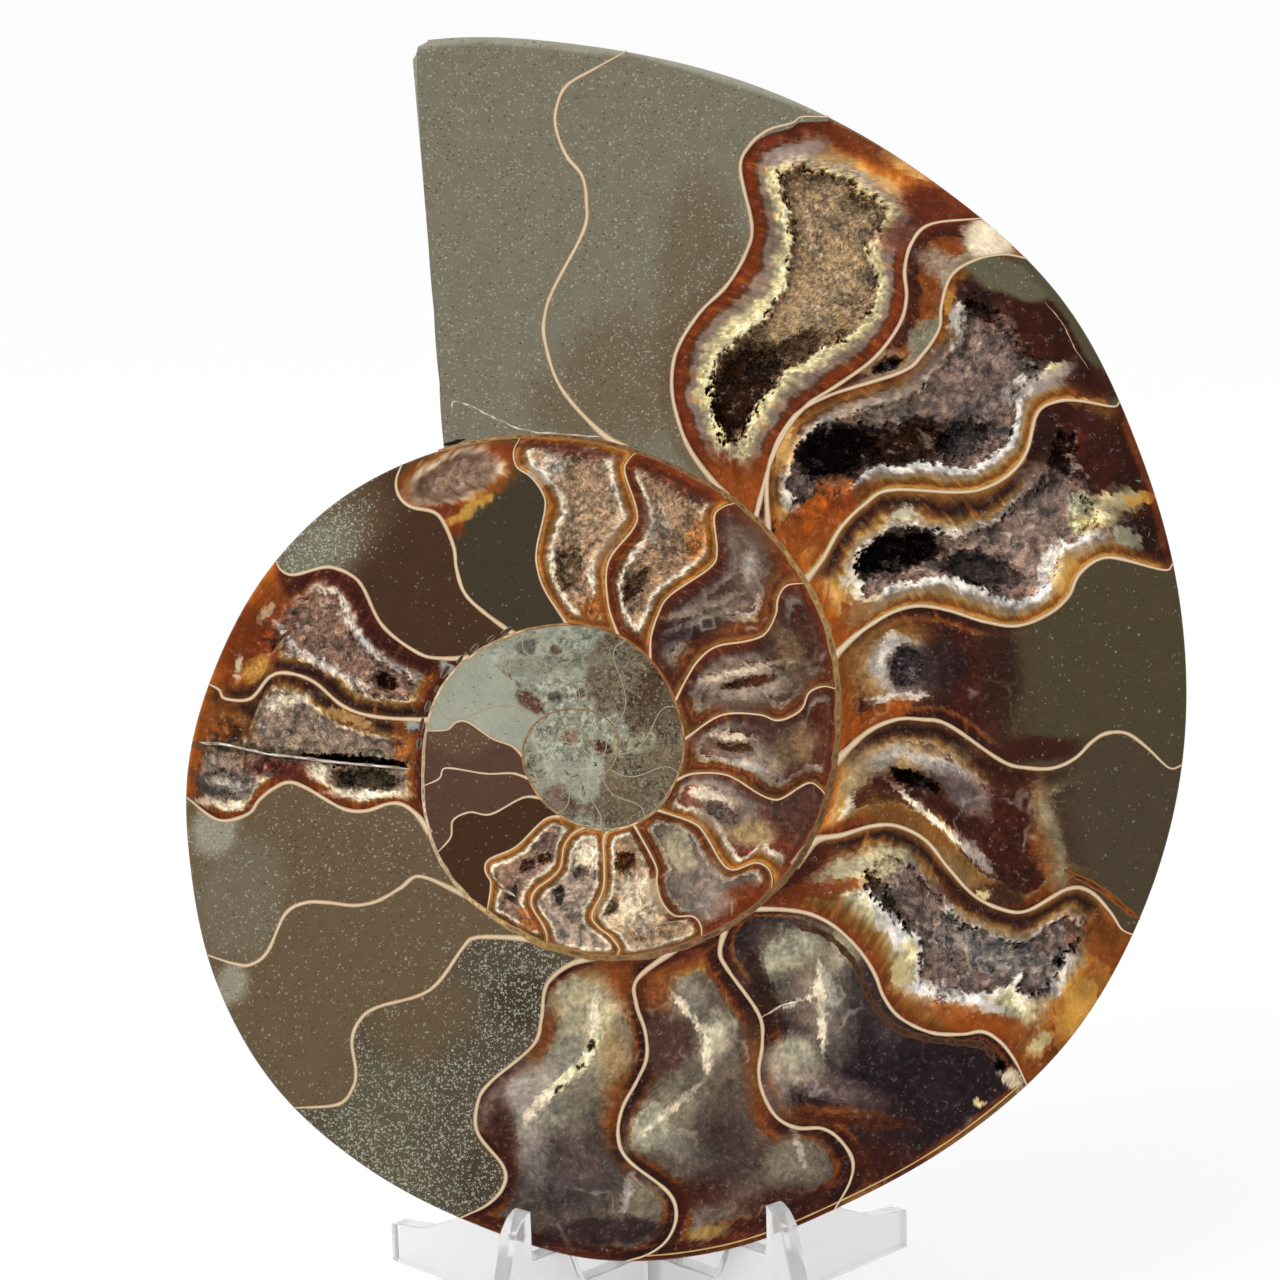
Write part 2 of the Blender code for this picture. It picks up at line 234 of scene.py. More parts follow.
class Growth(Enum):
    """Layers of crystal in the order they grew: how far through the lining each lies, and its colour."""

    AGATE = (0, Tone.MAROON, 0.08, Tone.MAROON_RED, 0.17, Tone.RUST, 0.28, Tone.RUST, 0.36, Tone.UMBER,
        0.46, Tone.SMOKE, 0.58, Tone.PUTTY, 0.7, Tone.LINEN, 0.85, Tone.STRAW, 1, Tone.OAT)
    AMBER_CREAM = (0, Tone.BRICK, 0.2, Tone.AMBER, 0.42, Tone.PEACH, 0.55, Tone.HONEY, 0.72, Tone.CREAM, 1,
        Tone.CHALK)
    AMBER_MARGIN = (0, Tone.WINE, 0.3, Tone.MAROON, 0.6, Tone.TOFFEE, 0.85, Tone.TEAK, 1, Tone.FAWN)
    BASE_GLOW = (0, Tone.COPPER, 0.3, Tone.BRICK, 0.6, Tone.RUST, 0.78, Tone.DUST, 1, Tone.STRAW)
    BROWN_TAN = (0, Tone.MAROON, 0.15, Tone.TOFFEE, 0.4, Tone.TEAK, 0.55, Tone.UMBER, 0.75, Tone.PUTTY, 1,
        Tone.CHALK)
    CREAMY = (0, Tone.TOFFEE, 0.15, Tone.HONEY, 0.32, Tone.TOFFEE, 0.5, Tone.TEAK, 0.66, Tone.PUTTY, 0.8,
        Tone.CREAM, 1, Tone.DUST)
    DARK_ROOF = (0, Tone.WINE, 0.6, Tone.DEEP, 0.85, Tone.WINE, 1, Tone.MAUVE)
    DARK_TO_WHITE = (0, Tone.TOFFEE, 0.08, Tone.TEAK, 0.2, Tone.UMBER, 0.32, Tone.DEEP, 0.48, Tone.UMBER,
        0.6, Tone.TEAK, 0.74, Tone.FAWN, 0.86, Tone.PUTTY, 1, Tone.CHALK)
    FIBRES = (0, Tone.TOFFEE, 0.14, Tone.UMBER, 0.34, Tone.DEEP, 0.6, Tone.UMBER, 0.78, Tone.TEAK, 0.92,
        Tone.FAWN, 1, Tone.CREAM)
    GOLD_TO_WHITE = (0, Tone.COPPER, 0.1, Tone.GOLD, 0.2, Tone.TOFFEE, 0.34, Tone.TEAK, 0.48, Tone.FAWN,
        0.62, Tone.PUTTY, 0.8, Tone.CHALK, 1, Tone.QUARTZ)
    GRAIN_TAN = (0, Tone.TOFFEE, 0.3, Tone.DUST, 0.6, Tone.FAWN, 1, Tone.DUST)
    HONEYED = (0, Tone.TOFFEE, 0.12, Tone.TEAK, 0.28, Tone.MAROON, 0.46, Tone.TOFFEE, 0.62, Tone.UMBER,
        0.76, Tone.FAWN, 0.9, Tone.PUTTY, 1, Tone.CHALK)
    HONEY_WHITE = (0, Tone.RUST, 0.14, Tone.TOFFEE, 0.34, Tone.TEAK, 0.5, Tone.FAWN, 0.66, Tone.LINEN, 0.84,
        Tone.OAT, 1, Tone.QUARTZ)
    MARGIN = (0, Tone.DEEP, 0.5, Tone.WINE, 0.8, Tone.TOFFEE, 1, Tone.UMBER)
    MAROON_BAND = (0, Tone.RUST, 0.12, Tone.MAROON, 0.85, Tone.WINE, 1, Tone.TOFFEE)
    MAROON_TAN = (0, Tone.MAROON, 0.35, Tone.WINE, 0.6, Tone.MAROON, 0.8, Tone.PUTTY, 1, Tone.CHALK)
    ORANGE_EDGE = (0, Tone.AMBER, 0.3, Tone.BRICK, 0.6, Tone.COPPER, 0.85, Tone.RUST, 1, Tone.SHALE)
    RIM_AMBER = (0, Tone.TOFFEE, 0.3, Tone.COPPER, 0.55, Tone.AMBER, 0.8, Tone.FAWN, 1, Tone.PUTTY)
    # Partly the calcite's own amber and partly painted light: the orange and peach stand in for light shining
    # through the thin rim.
    RIM_GLOW = (0, Tone.RUST, 0.14, Tone.COPPER, 0.4, Tone.AMBER, 0.62, Tone.PEACH, 0.8, Tone.DUST, 1,
        Tone.STRAW)
    RUST_CREAM = (0, Tone.MAROON, 0.3, Tone.RUST, 0.55, Tone.TOFFEE, 0.75, Tone.TEAK, 0.9, Tone.CREAM, 1,
        Tone.PUTTY)
    RUST_HONEY_DARK = (0, Tone.WINE, 0.3, Tone.RUST, 0.6, Tone.TOFFEE, 0.85, Tone.TEAK, 1, Tone.FAWN)
    SMALL_PLUM = (0, Tone.RUST, 0.2, Tone.MAROON, 0.5, Tone.PLUM, 0.7, Tone.MAUVE, 0.88, Tone.PUTTY, 1,
        Tone.BARK)
    SMALL_RIM = (0, Tone.TOFFEE, 0.25, Tone.RUST, 0.6, Tone.MAROON, 1, Tone.GRAPE)
    SMALL_SMOKE = (0, Tone.TOFFEE, 0.12, Tone.RUST, 0.3, Tone.MAROON, 0.44, Tone.TOFFEE, 0.56, Tone.UMBER,
        0.7, Tone.PUTTY, 0.86, Tone.CREAM, 1, Tone.DUST)
    THIN_EDGE = (0, Tone.FAWN, 0.4, Tone.TOFFEE, 1, Tone.MAROON)

    def paint(self, place: ndarray) -> ndarray:
        """Display colours at places through the lining, from 0 at the border to 1 at its crystal tips."""
        return ramp(place, self.value[::2], self.value[1::2])


def ramp(place: ndarray, stops: tuple[float, ...], tones: tuple[Tone, ...]) -> ndarray:
    """Display colours at places on a scale with a tone at each stop."""
    return np.stack([np.interp(place, stops, band) for band in zip(*(tone.paint for tone in tones))], -1)


def linear(paint: ndarray) -> ndarray:
    """Turns display values from 0 to 1 into linear light."""
    paint = np.clip(paint, 0.0, 1.0)
    return np.where(paint <= 0.04045, paint / 12.92, ((paint + 0.055) / 1.055) ** 2.4)


def ease(low: float, high: float, value: ndarray) -> ndarray:
    """Eases from 0 to 1 as a value goes from low to high."""
    share = np.clip((value - low) / (high - low), 0.0, 1.0)
    return share * share * (3.0 - 2.0 * share)


def blend(paint: ndarray, weight: ndarray, tone: Tone) -> ndarray:
    """Lays a tone over display colours, as strongly as each place's weight."""
    return paint + weight[..., None] * (tone.paint - paint)


def swing(radius: ndarray, clock: ndarray) -> tuple[ndarray, ndarray]:
    """Places across and upwards at distances from the centre and clock angles."""
    angle = np.radians(clock)
    return radius * np.sin(angle), radius * np.cos(angle)


def curve(before: ndarray, a: ndarray, b: ndarray, after: ndarray, t: ndarray) -> ndarray:
    """The place at share t of the way from a to b, on an even curve through all four."""
    bend = (2 * before - 5 * a + 4 * b - after) * t**2 + (3 * a - before - 3 * b + after) * t**3
    return a + 0.5 * (t * (b - before) + bend)


def smooth_line(points: tuple[float, ...], steps: int = 6) -> ndarray:
    """Draws an even curve through given points.

    Args:
        points: x and z of each point in turn.
        steps: places drawn from one point to the next.

    Returns:
        The curve's places, one row each.
    """
    knots = np.reshape(points, (-1, 2))
    knots = np.vstack((2 * knots[0] - knots[1], knots, 2 * knots[-1] - knots[-2]))
    line = [curve(*four, t) for four in zip(knots, knots[1:], knots[2:], knots[3:])
            for t in np.arange(steps) / steps]
    return np.vstack((line, knots[-2]))


def scatter(across: ndarray, up: ndarray, salt: int) -> ndarray:
    """Repeatable random numbers for the cells of a grid.

    Args:
        across: whole cell numbers across.
        up: whole cell numbers upwards.
        salt: picks one set of numbers.

    Returns:
        A number from 0 to 1 for each cell.
    """
    mixed = across.astype(np.int64) * 374761393 + up.astype(np.int64) * 668265263 + salt * 2246822519
    mixed = mixed & 0xFFFFFFFF
    mixed = ((mixed ^ (mixed >> 13)) * 1274126177) & 0xFFFFFFFF
    return ((mixed ^ (mixed >> 16)) & 0xFFFFFF) / float(0x1000000)


def crumple(x: ndarray, z: ndarray, size: float, salt: int, layers: int = 3) -> ndarray:
    """Smooth random swell over the face, with finer swells on it.

    Args:
        x: places across.
        z: places upwards.
        size: width of the widest swell, in millimetres.
        salt: picks one pattern.
        layers: how many times the swell is halved.

    Returns:
        Values from about -1 to 1.
    """
    total = np.zeros_like(x)
    for layer in range(layers):
        step, pick = size / 2**layer, salt + 7 * layer
        column, row = np.floor(x / step), np.floor(z / step)
        s, t = ease(0.0, 1.0, x / step - column), ease(0.0, 1.0, z / step - row)
        low, high = (scatter(column, row + up, pick) * (1.0 - s) + scatter(column + 1, row + up, pick) * s
                     for up in (0, 1))
        total = total + (2.0 * (low * (1.0 - t) + high * t) - 1.0) / 2**layer
    return total / (2.0 - 0.5 ** (layers - 1))


def wear(run: ndarray, size: float, salt: int, layers: int = 3) -> ndarray:
    """Uneven amounts from -1 to 1 along a line."""
    return crumple(run, run * 0.0, size, salt, layers)


@dataclass(frozen=True)
class Tips:
    """Crowded crystal tips: each place's height, a random number for its facet, and its crystal's middle."""

    height: ndarray
    facet: ndarray
    x: ndarray
    z: ndarray


def crystal_tips(x: ndarray, z: ndarray, size: float, salt: int) -> Tips:
    """Grows three-sided crystal tips over a grid with one crystal in each cell.

    Args:
        x: places across.
        z: places upwards.
        size: spacing of the tips, in millimetres.
        salt: picks one pattern.

    Returns:
        The tips, with heights from 0 to 1.
    """
    column, row = np.floor(x / size), np.floor(z / size)
    height, facet, middle_x, middle_z = np.full(x.shape, -9.0), np.zeros(x.shape), x, z
    for i, k in ((column + across, row + up) for across in (-1, 0, 1) for up in (-1, 0, 1)):
        seed_x = i + 0.15 + 0.7 * scatter(i, k, salt)
        seed_z = k + 0.15 + 0.7 * scatter(i, k, salt + 1)
        run, rise = x / size - seed_x, z / size - seed_z
        turn = 2.0 * np.pi * scatter(i, k, salt + 2)
        slopes = np.stack([run * np.cos(turn + side) + rise * np.sin(turn + side)
                           for side in (0.0, 2.1, 4.2)])
        lift = 0.5 + 0.5 * scatter(i, k, salt + 3) - 0.85 * slopes.max(axis=0)
        wins = lift > height
        height = np.where(wins, lift, height)
        facet = np.where(wins, scatter(i, k + 131 * slopes.argmax(axis=0), salt + 4), facet)
        middle_x = np.where(wins, seed_x * size, middle_x)
        middle_z = np.where(wins, seed_z * size, middle_z)
    return Tips(np.clip(height, 0.0, 1.0), facet, middle_x, middle_z)


@dataclass(frozen=True)
class Coil:
    """The spiral of the shell's outer edge, whorl inside whorl."""

    radii: tuple[float, ...] = SHELL_RADII

    def radius(self, clock: ndarray) -> ndarray:
        """Distance of the shell's edge from the centre.

        Args:
            clock: clock angles, with 360 added for each turn inwards.

        Returns:
            Radii in millimetres.
        """
        table, last = np.array(self.radii), len(self.radii) - 1
        place = (np.asarray(clock, float) - MOUTH_CLOCK) / RADIUS_STEP
        inside = np.clip(place, 0.0, last)
        start = np.minimum(inside.astype(int), last - 1)
        four = [table[np.clip(start + step, 0, last)] for step in (-1, 0, 1, 2)]
        return curve(*four, inside - start) * np.exp(GROWTH_RATE * RADIUS_STEP * (inside - place))

    def span(self, clock: ndarray) -> tuple[ndarray, ndarray]:
        """Radii of a whorl's inner wall and of its outer edge."""
        return self.radius(clock + TURN), self.radius(clock)

    def place(self, clock: ndarray, height: ndarray) -> tuple[ndarray, ndarray, ndarray]:
        """A place between the inner wall of a whorl, at height 0, and its outer edge, at 1.

        Args:
            clock: clock angles.
            height: shares of the way across.

        Returns:
            x, z and radius in millimetres.
        """
        foot, edge = self.span(clock)
        radius = foot + height * (edge - foot)
        return *swing(radius, clock), radius

    def mouth_clock(self, radius: ndarray) -> ndarray:
        """Clock angle of the saw cut at the mouth, at a distance from the centre."""
        reach = np.maximum(radius, MOUTH_OFFSET)
        return (MOUTH_FOOT_CLOCK + np.degrees(np.arccos(MOUTH_OFFSET / reach))
                + CORNER_CHIP * ease(*CHIP_REACH, reach))

    def whorl_depth(self, clock: ndarray, radius: ndarray) -> ndarray:
        """Depth of one whorl's flank behind the sawn face, in millimetres."""
        share = np.minimum(radius / self.radius(clock), 1.0)
        return FULLNESS * self.radius(clock) * (1.0 - share**FLANK_POWER) ** FLANK_ROUND + RIM_THICKNESS

    def back_depth(self, clock: ndarray, radius: ndarray) -> ndarray:
        """Depth of the whole back: each whorl covers the one inside it as far as the pit.

        Args:
            clock: clock angles in the outermost whorl.
            radius: distances from the centre.

        Returns:
            Depths behind the sawn face, in millimetres.
        """
        depth = self.whorl_depth(clock + TURN * COVERED_TURNS, radius)
        for turn in reversed(range(COVERED_TURNS)):
            edge = UMBILICUS * self.radius(clock + TURN * turn)
            cover = ease(-0.5, 0.5, (radius - edge) / UMBILICUS_SLOPE)
            depth = depth + cover * (self.whorl_depth(clock + TURN * turn, radius) - depth)
        return depth


COIL = Coil()


@dataclass(frozen=True)
class Septum:
    """One wall between two chambers, drawn from the whorl's inner wall to its outer edge."""

    number: int
    points: tuple[float, ...]

    def clocks(self, heights: ndarray) -> ndarray:
        """Clock angle of the septum at each height across its whorl.

        Args:
            heights: shares from 0 at the inner wall to 1 at the outer edge.

        Returns:
            Clock angles in degrees.
        """
        x, z = smooth_line(self.points).T
        clock = (np.degrees(np.arctan2(x, z)) + 30.0) % TURN - 30.0
        if self.number > LAST_OUTER:
            clock = clock + TURN
        if self.number > LAST_SEPTUM:
            clock = np.full(len(clock), INNER_CLOCK)
        foot, edge = COIL.span(clock)
        height = np.maximum.accumulate((np.hypot(x, z) - foot) / (edge - foot) + np.arange(len(x)) * 1e-6)
        return np.interp(heights, (height - height[0]) / (height[-1] - height[0]), clock)

    def draw(self) -> None:
        """Makes the septum's cut edge: thin at the shell, wider where it meets the inner wall."""
        outer, salt = self.number <= LAST_OUTER, 7000 + 13 * self.number
        height = np.linspace(0.0, 1.0, 150 if outer else 80)
        x, z, radius = COIL.place(self.clocks(height), height)
        flare = FLARE_WIDE if self.number in FLARED else FLARE
        half = 1.0 + flare * np.exp(-height / 0.05) - 0.5 * ease(0.85, 1.0, height)
        half = (OUTER_HALF if outer else INNER_HALF) * half * (1.0 + 0.22 * wear(radius, 1.4, salt))
        wear_and_sheen = 0.15 + 0.15 * wear(radius, 5.0, salt + 1)
        core = blend(Tone.CREAM.paint, wear_and_sheen, Tone.TAN)
        lay_ribbon(f"septum_{self.number:02d}", np.stack((x, z), 1), half, core, Tone.TAN.paint)


@dataclass(frozen=True)
class Ground:
    """The places of one chamber's sheet of stone, with how far each lies from the chamber's borders."""

    x: ndarray
    z: ndarray
    clock: ndarray
    radius: ndarray
    share: ndarray
    height: ndarray
    before: ndarray
    after: ndarray
    wall: ndarray
    rim: ndarray
    salt: int

    def edge(self) -> ndarray:
        """Distance to the nearest border, in millimetres."""
        return np.minimum(np.minimum(self.before, self.after), np.minimum(self.wall, self.rim))

    def along(self) -> ndarray:
        """Distance along the nearest border, in millimetres."""
        ends = np.minimum(self.before, self.after) < np.minimum(self.wall, self.rim)
        return np.where(ends, self.radius, np.radians(self.clock) * self.radius)

    def at_tips(self, tips: Tips) -> "Ground":
        """The same ground with each place moved to the middle of its crystal."""
        return replace(self, x=tips.x, z=tips.z)

    def ragged(self, size: float, amount: float, salt: int, layers: int = 3) -> ndarray:
        """Uneven amounts over the face, for rough outlines and clouds."""
        return amount * crumple(self.x, self.z, size, self.salt + salt, layers)

    def tips(self, size: float, salt: int) -> Tips:
        """Crystal tips over the face."""
        return crystal_tips(self.x, self.z, size, self.salt + salt)


@dataclass(frozen=True)
class Band:
    """A stripe of colour along one border of a chamber, from one share of its length to another."""

    side: Side
    wide: float
    tone: Tone
    start: float = -1.0
    stop: float = 2.0
    strength: float = 1.0
    mud: float | None = None
    fleck: float | None = None

    def weight(self, ground: Ground) -> ndarray:
        """How strongly the stripe covers each place.

        Args:
            ground: the chamber's places.

        Returns:
            Shares from 0 to 1.
        """
        salt, soft = int(11 * self.wide), min(0.5, 0.22 * self.wide + 0.1)
        away = getattr(ground, self.side.value) + ground.ragged(0.8, 0.14, salt + 3)
        away = away + ground.ragged(2.2, min(0.28 * self.wide + 0.15, 0.8), salt)
        run = ground.height if self.side in (Side.BEFORE, Side.AFTER) else ground.share
        run = run + ground.ragged(3.0, 0.03, salt + 5)
        cover = ease(self.start - 0.04, self.start + 0.04, run)
        cover = cover * (1.0 - ease(self.stop - 0.04, self.stop + 0.04, run))
        return self.strength * cover * (1.0 - ease(self.wide - soft, self.wide + soft, away))


@dataclass(frozen=True)
class Oval:
    """An oval on the face: middle, long half, half width, tone and the clock angle that it points to."""

    x: float
    z: float
    length: float
    wide: float
    tone: Tone
    clock: float = 0.0

    def reach(self, ground: Ground) -> ndarray:
        """Distance from the oval's middle: 1 on its outline, less inside it.

        Args:
            ground: the chamber's places.

        Returns:
            Shares of the oval's own size.
        """
        angle = math.radians(self.clock)
        x, z = ground.x - self.x, ground.z - self.z
        along = x * math.sin(angle) + z * math.cos(angle)
        across = x * math.cos(angle) - z * math.sin(angle)
        return np.hypot(along / self.length, across / self.wide)


@dataclass(frozen=True)
class Spot(Oval):
    """A rough-edged spot of colour."""

    strength: float = 0.85
    soft: float = 0.6
    mud: float | None = None
    fleck: float | None = None

    def weight(self, ground: Ground) -> ndarray:
        """How strongly the spot covers each place.

        Args:
            ground: the chamber's places.

        Returns:
            Shares from 0 to 1.
        """
        salt = int(13 * abs(self.x) + 29 * abs(self.z)) % 997
        rough, half = min(0.34, 1.2 / self.wide), 0.6 * self.soft
        swell = ground.ragged(1.1 * math.sqrt(self.length * self.wide) + 0.6, rough, salt)
        reach = self.reach(ground) + swell + ground.ragged(0.9, 0.5 * rough, salt + 5)
        return self.strength * (1.0 - ease(1.0 - half, 1.0 + half, reach))


@dataclass(frozen=True)
class Pool(Oval):
    """A deeper part of a crystal hollow, sunk and painted with its tone: the dark tones are painted shade in
    the pit.
    """

    depth: float = 0.0

    def weight(self, ground: Ground) -> ndarray:
        """How far inside the pool each place is, from 0 outside to 1 at its middle."""
        salt = int(17 * abs(self.x) + 31 * abs(self.z)) % 997
        return 1.0 - ease(0.62, 1.15, self.reach(ground) + ground.ragged(3.0, 0.22, salt)
                          + ground.ragged(0.9, 0.14, salt + 5))


def find_seat() -> Matrix:
    """Works out where the drawn fossil sits from the box of its CAD node.

    Returns:
        The matrix from the fossil's own frame to the shared frame.
    """
    turn = Matrix.Rotation(-LEAN, 4, "X") @ Matrix.Rotation(ROLL, 4, "Y")
    share = np.arange(85)[:, None] / 84
    radius = STEP_FOOT
    for _ in range(12):
        clock = COIL.mouth_clock(radius) + TURN * share
        radius = STEP_FOOT + np.array((0.88, 0.95, 0.985, 1.0)) * (COIL.radius(clock) - STEP_FOOT)
    x, z = swing(radius, clock)
    places = np.stack([(x, depth, z) for depth in (COIL.back_depth(clock, radius), 0.0 * radius)], 1)
    lowest = Vector((np.array(turn.to_3x3()) @ places.reshape(3, -1)).min(axis=1))
    return Matrix.Translation(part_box(FOSSIL)[0] - lowest * MM) @ turn


SEAT = find_seat()


def add_object(name: str, data: ID | None, place: Matrix) -> Object:
    """Adds an object to the scene.

    Args:
        name: the object's name.
        data: its mesh, camera or lamp.
        place: its matrix in the shared frame.

    Returns:
        The object.
    """
    thing = bpy.data.objects.new(name, data)
    bpy.context.scene.collection.objects.link(thing)
    thing.matrix_world = place
    return thing


def weave(columns: int, rows: int) -> ndarray:
    """Four-sided faces of a grid whose points are numbered column by column."""
    corner = (np.arange(columns - 1)[:, None] * rows + np.arange(rows - 1)).ravel()
    return np.stack((corner, corner + rows, corner + rows + 1, corner + 1), axis=1)


def make_piece(name: str, points: ndarray, finish: Finish, fields: dict[str, ndarray | float],
               caps: tuple[range, ...] = ()) -> Object:
    """Makes one piece of the stone from a grid of points and seats it.

    Args:
        name: the piece's name.
        points: places in the fossil's frame, in millimetres, by column and row.
        finish: the piece's material.
        fields: what the finish reads at each point: a number, or three for "tint" and "reach".
        caps: corner numbers of faces past those of the grid.

    Returns:
        The new object.
    """
    mesh = bpy.data.meshes.new(name)
    shape = points.shape[:2]
    faces = weave(*shape)
    mesh.from_pydata((points.reshape(-1, 3) * MM).tolist(), [], faces.tolist() + [list(cap) for cap in caps])
    for field, values in fields.items():
        kind, key = "FLOAT", "value"
        if field == "tint":
            kind, key = "FLOAT_COLOR", "color"
            values = np.concatenate((np.broadcast_to(linear(values), (*shape, 3)), np.ones((*shape, 1))), -1)
        elif field == "reach":
            kind, key = "FLOAT_VECTOR", "vector"
        else:
            values = np.broadcast_to(values, shape)
        mesh.attributes.new(field, kind, "POINT").data.foreach_set(key, np.ravel(values))
    sunk = np.broadcast_to(fields.get("sunk", 0.0), shape).ravel()[faces].max(axis=1)
    mesh.polygons.foreach_set("use_smooth", np.append(sunk < 0.2, np.ones(len(caps), bool)))
    mesh.materials.append(finish.material)
    piece = add_object(name, mesh, SEAT)
    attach(piece, "root")
    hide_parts(FOSSIL)
    LOG.info("%s: %d faces", name, len(mesh.polygons))
    return piece


def corners(piece: Object) -> ndarray:
    """Places of a piece's points in the fossil's frame, in millimetres."""
    return np.array([corner.co[:] for corner in piece.data.vertices]) / MM


class Sock:
    """A value in a node tree, written in expressions as if it were a number."""

    def __init__(self, shade: "Shade", socket: NodeSocket) -> None:
        """Keeps the tree that the socket belongs to."""
        self.shade, self.socket = shade, socket

    def math(self, operation: str, *others: "Sock | float") -> "Sock":
        """Adds a Math node with this value first."""
        return self.shade.add("ShaderNodeMath", {"operation": operation}, dict(enumerate((self, *others))))

    def __add__(self, other: "Sock | float") -> "Sock":
        """Adds a value."""
        return self.math("ADD", other)

    __radd__ = __add__

    def __sub__(self, other: "Sock | float") -> "Sock":
        """Takes a value away."""
        return self.math("SUBTRACT", other)

    def __rsub__(self, other: float) -> "Sock":
        """Takes this value away from a number."""
        return self.shade.add("ShaderNodeMath", {"operation": "SUBTRACT"}, {0: other, 1: self})

    def __mul__(self, other: "Sock | float") -> "Sock":
        """Multiplies by a value."""
        return self.math("MULTIPLY", other)

    __rmul__ = __mul__

    def eased(self, low: float, high: float) -> "Sock":
        """Eases from 0 to 1 as this value goes from low to high."""
        return self.shade.add("ShaderNodeMapRange", {"interpolation_type": "SMOOTHSTEP"},
                              {0: self, 1: low, 2: high, 3: 0.0, 4: 1.0})


class Shade:
    """The node tree of a material or of the world."""

    def __init__(self, holder: ID) -> None:
        """Starts an empty tree.

        Args:
            holder: the material or the world.
        """
        holder.use_nodes = True
        self.tree = holder.node_tree
        self.tree.nodes.clear()

    def feed(self, socket: NodeSocket, value: object) -> None:
        """Links a value to an input, or sets the input to a constant.

        Args:
            socket: the input.
            value: another node's output, or the constant.
        """
        if isinstance(value, Sock):
            self.tree.links.new(value.socket, socket)
        else:
            socket.default_value = value

    def add(self, kind: str, settings: dict[str, object], sockets: dict[int | str, object],
            output: int | str = 0) -> Sock:
        """Adds one node.

        Args:
            kind: the node's type.
            settings: the node's own settings, set before its sockets.
            sockets: values or links by input name or number.
            output: which output to give back.

        Returns:
            The chosen output.
        """
        node = self.tree.nodes.new(kind)
        for setting, value in settings.items():
            setattr(node, setting, value)
        for key, value in sockets.items():
            self.feed(node.inputs[key], value)
        return Sock(self, node.outputs[output])

    def surface(self, **sockets: object) -> Sock:
        """A Principled surface, with its inputs' names in small letters and underscores."""
        return self.add("ShaderNodeBsdfPrincipled", {}, {
            key.replace("_", " ").title().replace("Ior", "IOR"): value for key, value in sockets.items()})

    def end(self, last: Sock, kind: str = "ShaderNodeOutputMaterial") -> None:
        """Adds the tree's output."""
        self.feed(self.tree.nodes.new(kind).inputs[0], last)

    def field(self, name: str, output: str = "Fac") -> Sock:
        """A value that the mesh carries at each point."""
        return self.add("ShaderNodeAttribute", {"attribute_name": name}, {}, output)

    def place(self) -> Sock:
        """The place on the fossil, in millimetres."""
        return self.scaled(self.add("ShaderNodeTexCoord", {}, {}, "Object"), 1000.0)

    def scaled(self, vector: Sock, scale: Sock | float) -> Sock:
        """A vector or colour times a number."""
        return self.add("ShaderNodeVectorMath", {"operation": "SCALE"}, {0: vector, "Scale": scale})

    def stretched(self, vector: Sock, factors: tuple[float, float, float]) -> Sock:
        """A vector times three numbers."""
        return self.add("ShaderNodeVectorMath", {"operation": "MULTIPLY"}, {0: vector, 1: factors})

    def pushed(self, vector: Sock, scale: float, amount: float, base: Sock) -> Sock:
        """A vector moved about by coloured noise."""
        push = self.add("ShaderNodeTexNoise", {}, {"Vector": vector, "Scale": scale}, "Color")
        return self.add("ShaderNodeVectorMath", {"operation": "MULTIPLY_ADD"},
                        {0: push, 1: (amount, amount, amount), 2: base})

    def noise(self, vector: Sock, scale: float, detail: float = 3.0, roughness: float = 0.55) -> Sock:
        """Cloudy values from 0 to 1."""
        sockets = {"Vector": vector, "Scale": scale, "Detail": detail, "Roughness": roughness}
        return self.add("ShaderNodeTexNoise", {}, sockets)

    def cells(self, vector: Sock, scale: float, feature: str = "F1", output: str = "Distance") -> Sock:
        """Distances or random colours of scattered cells."""
        sockets = {"Vector": vector, "Scale": scale}
        return self.add("ShaderNodeTexVoronoi", {"feature": feature}, sockets, output)

    def lots(self, vector: Sock, scale: float, channel: int = 0) -> Sock:
        """A random number for each scattered cell."""
        colour = self.cells(vector, scale, output="Color")
        return self.add("ShaderNodeSeparateColor", {}, {0: colour}, channel)

    def mix(self, factor: Sock, first: Sock, tone: Tone) -> Sock:
        """Lays a tone over a colour."""
        return self.add("ShaderNodeMix", {"data_type": "RGBA"}, {0: factor, 6: first, 7: tone.light}, 2)

    def bump(self, height: Sock, strength: float, distance: float) -> Sock:
        """A Bump node's normal, with its distance in metres."""
        return self.add("ShaderNodeBump", {}, {"Strength": strength, "Distance": distance, "Height": height})


class Coat(Shade):
    """A finish of the fossil or its stand."""

    finish: Finish
    gloss: float

    def __init__(self) -> None:
        """Makes the material."""
        super().__init__(bpy.data.materials.new(self.finish.value))
        self.spot = self.place()
        self.build()

    def build(self) -> None:
        """Adds the nodes."""
        raise NotImplementedError


